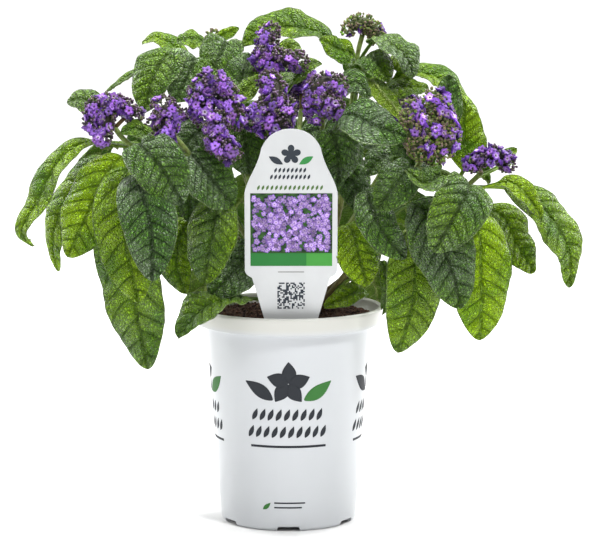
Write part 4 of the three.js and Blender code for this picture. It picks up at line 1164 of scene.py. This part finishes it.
def make_blooms():
    material = bloom_material()
    stalk = stem_material()
    pale_eyed = floret_shape((226, 212, 240))
    # The plain florets' pale inner ring is a painted highlight at their centre
    plain = floret_shape((160, 118, 214))
    for index, stem in enumerate(STEMS):
        draw = np.random.default_rng(100 + index)
        build = Build()
        radius = HEAD_SHARE * stem["radius"]
        *ripe_side, ripe_from = RIPENESS.get(stem["name"], RIPENESS["others"])
        young = ripe_from > YOUNG_FROM
        closed_shape = bud_shape((150, 112, 128) if young else (190, 166, 200), 0.9 if young else 0.0)
        core_tint = rgb(*((84, 96, 44) if young else (58, 56, 36)))[:3]
        tip = np.array(stem["path"][-1], float)
        for points in stem["bands"]:
            curve = Curve(points)
            samples = curve.at(np.linspace(0, 1, 13))
            near = samples[np.argmin(np.linalg.norm(samples - tip, axis=1))]
            start = tip + unit(near - tip) * 0.35
            steps = np.linspace(0, 1, 4)
            stalk_tint = np.tile(rgb(112, 128, 66)[:3], (STALK_SIDES * len(steps), 1))
            tube(build, Curve([start, (start + near) / 2, near]), [1.3, 1.25, 1.2, 1.2], STALK_SIDES, steps,
                 slot=1, tint=stalk_tint)
            shares = np.linspace(0, 1, max(4, int(curve.length / 3)))
            core = np.tile(core_tint, (STALK_SIDES * len(shares), 1))
            tube(build, curve, np.full(len(shares), 0.62 * radius), STALK_SIDES, shares, tint=core)
            area = 2 * math.pi * radius * (curve.length + 1.2 * radius)
            open_count = int(area / FLORET_AREA)
            centres, outward = band_places(curve, radius, open_count, draw, 0.8)
            lean = unit(outward + draw.normal(0, 0.42, outward.shape))
            sizes = FLORET_SIZE * draw.uniform(0.68, 1.1, open_count)
            clump = np.sin(centres @ [0.31, 0.17, 0.43] + 2 * outward @ [1.7, 0.9, 1.3] + index)
            height = radius * (draw.uniform(0.84, 1.0, open_count) + 0.09 * clump)
            # Florets on the clumps are lighter and those between them darker: painted light and shade, on top
            # of a random spread
            scale = (0.85 + 0.25 * clump[:, None]) * draw.uniform(0.5, 1.55, (open_count, 1))
            scale = scale * draw.uniform(0.9, 1.1, (open_count, 3))
            ripe = outward @ unit(ripe_side) + 0.5 * clump + draw.normal(0, 0.35, open_count)
            keep = ripe > ripe_from
            eyed = draw.uniform(size=open_count) < PALE_EYED_SHARE
            places = centres + outward * height[:, None]
            for shape, chosen in ((pale_eyed, keep & eyed), (plain, keep & ~eyed)):
                scatter(build, shape, places[chosen], lean[chosen], sizes[chosen],
                        draw.uniform(0, FULL_TURN, chosen.sum()), scale[chosen])
            crowd = np.repeat(np.flatnonzero(~keep), BUDS_FOR_CLOSED)
            beside = unit(outward[crowd] + draw.normal(0, 0.26, (len(crowd), 3)))
            places = centres[crowd] + beside * radius * draw.uniform(0.8, 1.0, (len(crowd), 1))
            scatter(build, closed_shape, places, beside, draw.uniform(0.9, 1.4, len(crowd)),
                    draw.uniform(0, FULL_TURN, len(crowd)), bud_tints(draw, len(crowd)))
            bud_count = int(area / BUD_AREA)
            centres, outward = band_places(curve, radius, bud_count, draw, 0.9)
            lean = unit(outward + draw.normal(0, 0.3, outward.shape))
            height = radius * draw.uniform(0.62, 1.0, bud_count)
            scatter(build, closed_shape, centres + outward * height[:, None], lean,
                    draw.uniform(0.8, 1.4, bud_count), draw.uniform(0, FULL_TURN, bud_count),
                    bud_tints(draw, bud_count))
        build.piece("florets_" + stem["name"], [material, stalk], ["bloom_" + stem["name"]])


# Label

LABEL_FACE = LABEL_THICKNESS / 2
INK = 0.06
# The picture's panel: left, foot, right and top. A band of two greens stands under it
PANEL = (-23.6, 45.3, 23.9, 81.4)
BAND_FOOT = 37.6
BAND_SPLIT = 8.9
PICTURE_FLOWERS = 430
PICTURE_PETAL_STEPS = 20
SQUARES = 19
SQUARES_WIDTH = 16
SQUARE_SHARE = 0.48


def label_point(x, z, lift):
    """A place on the label: across, up its face, and out of the front of its mid plane."""
    lean = math.radians(LABEL_LEAN)
    return [LABEL_X + x,
            LABEL_Y - z * math.sin(lean) - lift * math.cos(lean),
            SOIL_EDGE_TOP + z * math.cos(lean) - lift * math.sin(lean)]


def bezier(p0, p1, p2, p3, steps):
    t = np.linspace(0, 1, steps + 1)[1:, None]
    p0, p1, p2, p3 = (np.array(p, float) for p in (p0, p1, p2, p3))
    return ((1 - t) ** 3 * p0 + 3 * (1 - t) ** 2 * t * p1 + 3 * (1 - t) * t**2 * p2 + t**3 * p3).tolist()


def label_outline():
    right = [[8, -LABEL_BURIED], [15.6, 5], [22.8, 30.5]]
    right += bezier([22.8, 30.5], [25.5, 31.5], [26.9, 33.2], [26.9, 35.5], 8)
    right.append([26.9, 81.5])
    right += bezier([26.9, 81.5], [25.5, 90], [19, 97], [17.2, 108], 14)
    right += bezier([17.2, 108], [13.5, 116.5], [7, LABEL_RISE], [0, LABEL_RISE], 18)
    left = [[-x, z] for x, z in right[-2::-1]]
    return right + left


def flat_piece(name, outline_points, lift, depth, material, replaces=()):
    """A thin plate on the label's front, from its outline."""
    n = len(outline_points)
    front = [label_point(x, z, lift + depth) for x, z in outline_points]
    back = [label_point(x, z, lift) for x, z in outline_points]
    mesh = bpy.data.meshes.new(name)
    faces = [list(range(n)), list(range(2 * n - 1, n - 1, -1))]
    faces += [[i, i + n, (i + 1) % n + n, (i + 1) % n] for i in range(n)]
    mesh.from_pydata((np.array(front + back) * MM).tolist(), [], faces)
    mesh.materials.append(material)
    show_piece(name, mesh, replaces)


def ink_piece(name, outline_points, material):
    flat_piece(name, outline_points, LABEL_FACE, INK, material)


def rectangle(x0, z0, x1, z1):
    return [[x0, z0], [x1, z0], [x1, z1], [x0, z1]]


def make_label():
    white = print_material("label_plastic", rgb(200, 202, 203), 0.4, 0.4)
    flat_piece("label_sheet", label_outline(), -LABEL_FACE, LABEL_THICKNESS, white, ["label"])
    ink_piece("label_band", rectangle(PANEL[0], BAND_FOOT, BAND_SPLIT, PANEL[1]),
              print_material("band_green", rgb(44, 118, 56)))
    ink_piece("label_band_end", rectangle(BAND_SPLIT, BAND_FOOT, PANEL[2], PANEL[1]),
              print_material("band_light_green", rgb(70, 148, 64)))
    make_label_picture()
    make_label_marks()


BOX_FACES = [[0, 1, 2, 3], [7, 6, 5, 4], [0, 4, 5, 1], [1, 5, 6, 2], [2, 6, 7, 3], [3, 7, 4, 0]]


def make_label_picture():
    """A generic bed of five-petalled flowers over dark leaves, each motif a flat shape in the panel."""
    draw = np.random.default_rng(29)
    build = Build()
    x0, z0, x1, z1 = PANEL
    columns, rows = 40, 30
    grid_x, grid_z = np.meshgrid(np.linspace(x0, x1, columns), np.linspace(z0, z1, rows))
    leafy = 0.5 + 0.5 * np.sin(grid_x * 0.9 + 2 * np.sin(grid_z * 0.5)) * np.sin(grid_z * 1.1)
    dark, light = np.array(rgb(18, 26, 20)[:3]), np.array(rgb(62, 104, 46)[:3])
    tint = dark + (light - dark) * leafy.reshape(-1, 1)
    front, back = (np.array([label_point(x, z, lift) for x, z in zip(grid_x.ravel(), grid_z.ravel())])
                   for lift in (LABEL_FACE + INK, LABEL_FACE))
    close(build, front, back, rows, columns, tint=tint)
    petals = PICTURE_PETAL_STEPS
    angles = np.linspace(0, 2 * np.pi, petals, endpoint=False)
    level = LABEL_FACE + INK
    for _ in range(PICTURE_FLOWERS):
        size = draw.uniform(1.1, 2.1)
        x = draw.uniform(x0 + size, x1 - size)
        z = draw.uniform(z0 + size, z1 - size)
        level += 0.0007
        turn = draw.uniform(0, FULL_TURN)
        reach = size * (0.5 + 0.5 * np.abs(np.cos((angles - turn) * 2.5)) ** 0.6)
        rim = [label_point(x + r * math.cos(a), z + r * math.sin(a), level) for r, a in zip(reach, angles)]
        eye = [label_point(x + 0.32 * size * math.cos(a), z + 0.32 * size * math.sin(a), level + 0.0004)
               for a in angles]
        middle = [label_point(x, z, level + 0.0008)]
        shade = draw.uniform(0.3, 1.2)
        colours = np.array([rgb(124, 84, 184)[:3]] * petals + [rgb(206, 180, 228)[:3]] * petals
                           + [rgb(74, 30, 88)[:3]]) * shade
        ring = np.arange(petals)
        after = (ring + 1) % petals
        quads = np.vstack([np.column_stack([ring, after, petals + after]),
                           np.column_stack([ring, petals + after, petals + ring]),
                           np.column_stack([petals + ring, petals + after, np.full(petals, 2 * petals)])])
        build.add(rim + eye + middle, quads, tint=np.clip(colours, 0, 0.95))
    build.piece("label_picture", [panel_material()], smooth=False)


def leaf_shape(x, z, lean, length, width):
    """The outline of a pointed leaf from its foot, leaning from upright."""
    lean = math.radians(lean)
    points = []
    for t in np.linspace(0, 2, 20, endpoint=False):
        along = length * (t if t < 1 else 2 - t)
        side = width / 2 * math.sin(math.pi * t)
        points.append([x + along * math.sin(lean) - side * math.cos(lean),
                       z + along * math.cos(lean) + side * math.sin(lean)])
    return points


def make_label_marks():
    """Generic marks: a flower sign over rows of sprigs, a thin line, and a block of plain squares."""
    green = print_material("mark_green", rgb(82, 112, 60))
    light = print_material("mark_light", rgb(56, 134, 70))
    dark = print_material("mark_dark", rgb(50, 56, 64))
    grey = print_material("mark_grey", rgb(150, 152, 150))
    petals = []
    for a in np.linspace(0, 2 * math.pi, 60, endpoint=False):
        reach = 5.8 * (0.45 + 0.55 * abs(math.cos(2.5 * (a - math.pi / 2))) ** 0.7)
        petals.append([reach * math.cos(a), 104.5 + reach * math.sin(a)])
    ink_piece("label_flower_sign", petals, dark)
    ink_piece("label_leaf_left", leaf_shape(-4.6, 98.6, -60, 9.5, 3.8), dark)
    ink_piece("label_leaf_right", leaf_shape(4.6, 98.6, 60, 9.5, 3.8), light)
    sprig_rows = (("upper", 93.6, 8, 2.4, dark), ("lower", 89.6, 10, 2.4, dark),
                  ("name", 83.2, 15, 2.6, green))
    for line, height, count, step, ink_colour in sprig_rows:
        for i in range(count):
            ink_piece(f"label_sprig_{line}_{i}", leaf_shape(step * (i - count / 2), height, 24, 3.4, 1.4),
                      ink_colour)
    ink_piece("label_line_small", rectangle(-7.6, 33.6, 7.6, 34.3), grey)
    draw = random.Random(7)
    cell = SQUARES_WIDTH / SQUARES
    build = Build()
    for i in range(SQUARES):
        for j in range(SQUARES):
            if draw.random() < SQUARE_SHARE:
                x, z = -8 + i * cell, 11.5 + j * cell
                corners = [label_point(a, b, lift) for lift in (LABEL_FACE + INK, LABEL_FACE)
                           for a, b in rectangle(x, z, x + cell, z + cell)]
                build.add(corners, BOX_FACES)
    build.piece("label_squares", [dark], smooth=False)


# Stage, light and camera

WORLD_LIGHT = 0.25


def area_light(name, place, aim, width, height, power, colour=(1, 1, 1)):
    light = bpy.data.lights.new(name, "AREA")
    light.shape = "RECTANGLE"
    light.size = width
    light.size_y = height
    light.energy = power
    light.color = colour
    obj = show(name, light)
    obj.location = place
    obj.rotation_euler = (Vector(aim) - Vector(place)).to_track_quat("-Z", "Y").to_euler()


def make_stage():
    """A pale sweep, a floor that turns up into a wall far behind, with a dim sky and soft lamps."""
    half = 7.0
    front = -7.0
    bend = 2.2
    radius = 1.4
    line = [(front, 0.0), (bend, 0.0)]
    for angle in np.linspace(0, math.pi / 2, 17)[1:]:
        line.append((bend + radius * math.sin(angle), radius * (1 - math.cos(angle))))
    line.append((bend + radius, 4.0))
    points = [(x, y, z) for y, z in line for x in (-half, half)]
    faces = [(2 * i, 2 * i + 1, 2 * i + 3, 2 * i + 2) for i in range(len(line) - 1)]
    sweep = bpy.data.meshes.new("sweep")
    sweep.from_pydata(points, [], faces)
    n = Nodes("sweep")
    sweep.materials.append(n.surface({"Base Color": (0.8, 0.8, 0.8, 1), "Roughness": 0.9,
                                      "Specular IOR Level": 0.0}))
    show("sweep", sweep)
    world = bpy.data.worlds.new("studio")
    world.use_nodes = True
    world.node_tree.nodes["Background"].inputs[0].default_value = (1, 1, 1, 1)
    world.node_tree.nodes["Background"].inputs[1].default_value = WORLD_LIGHT
    bpy.context.scene.world = world
    middle = (0, 0, 0.2)
    area_light("key_right", (0.9, -1.2, 1.7), middle, 0.4, 0.4, 27)
    area_light("fill_left", (-1.4, -1.2, 1.0), middle, 0.8, 0.8, 9)
    area_light("back_left", (-1.2, 1.1, 1.0), middle, 0.8, 1.2, 26)
    area_light("back_right", (1.2, 1.1, 1.0), middle, 0.8, 1.2, 26)
    area_light("top", (0, 0.1, 1.7), middle, 0.8, 0.8, 34)
    area_light("backdrop", (0, 1.5, 2.4), (0, 3.0, 0.4), 2.5, 0.6, 60)


def make_camera():
    camera = bpy.data.cameras.new("camera")
    place = Vector((0, -CAMERA_DISTANCE, CAMERA_HEIGHT))
    aim = Vector(CAMERA_AIM)
    camera.sensor_width = SENSOR
    camera.lens = SENSOR * (aim - place).length / FRAME_WIDTH
    camera.clip_start = 0.05
    obj = show("camera", camera)
    obj.location = place
    obj.rotation_euler = (aim - place).to_track_quat("-Z", "Y").to_euler()
    bpy.context.scene.camera = obj


make_camera()
make_stage()
make_pot()
make_pot_prints()
make_soil()
make_label()
make_leafy_stems()
make_blooms()

bpy.context.scene.view_settings.view_transform = "Standard"
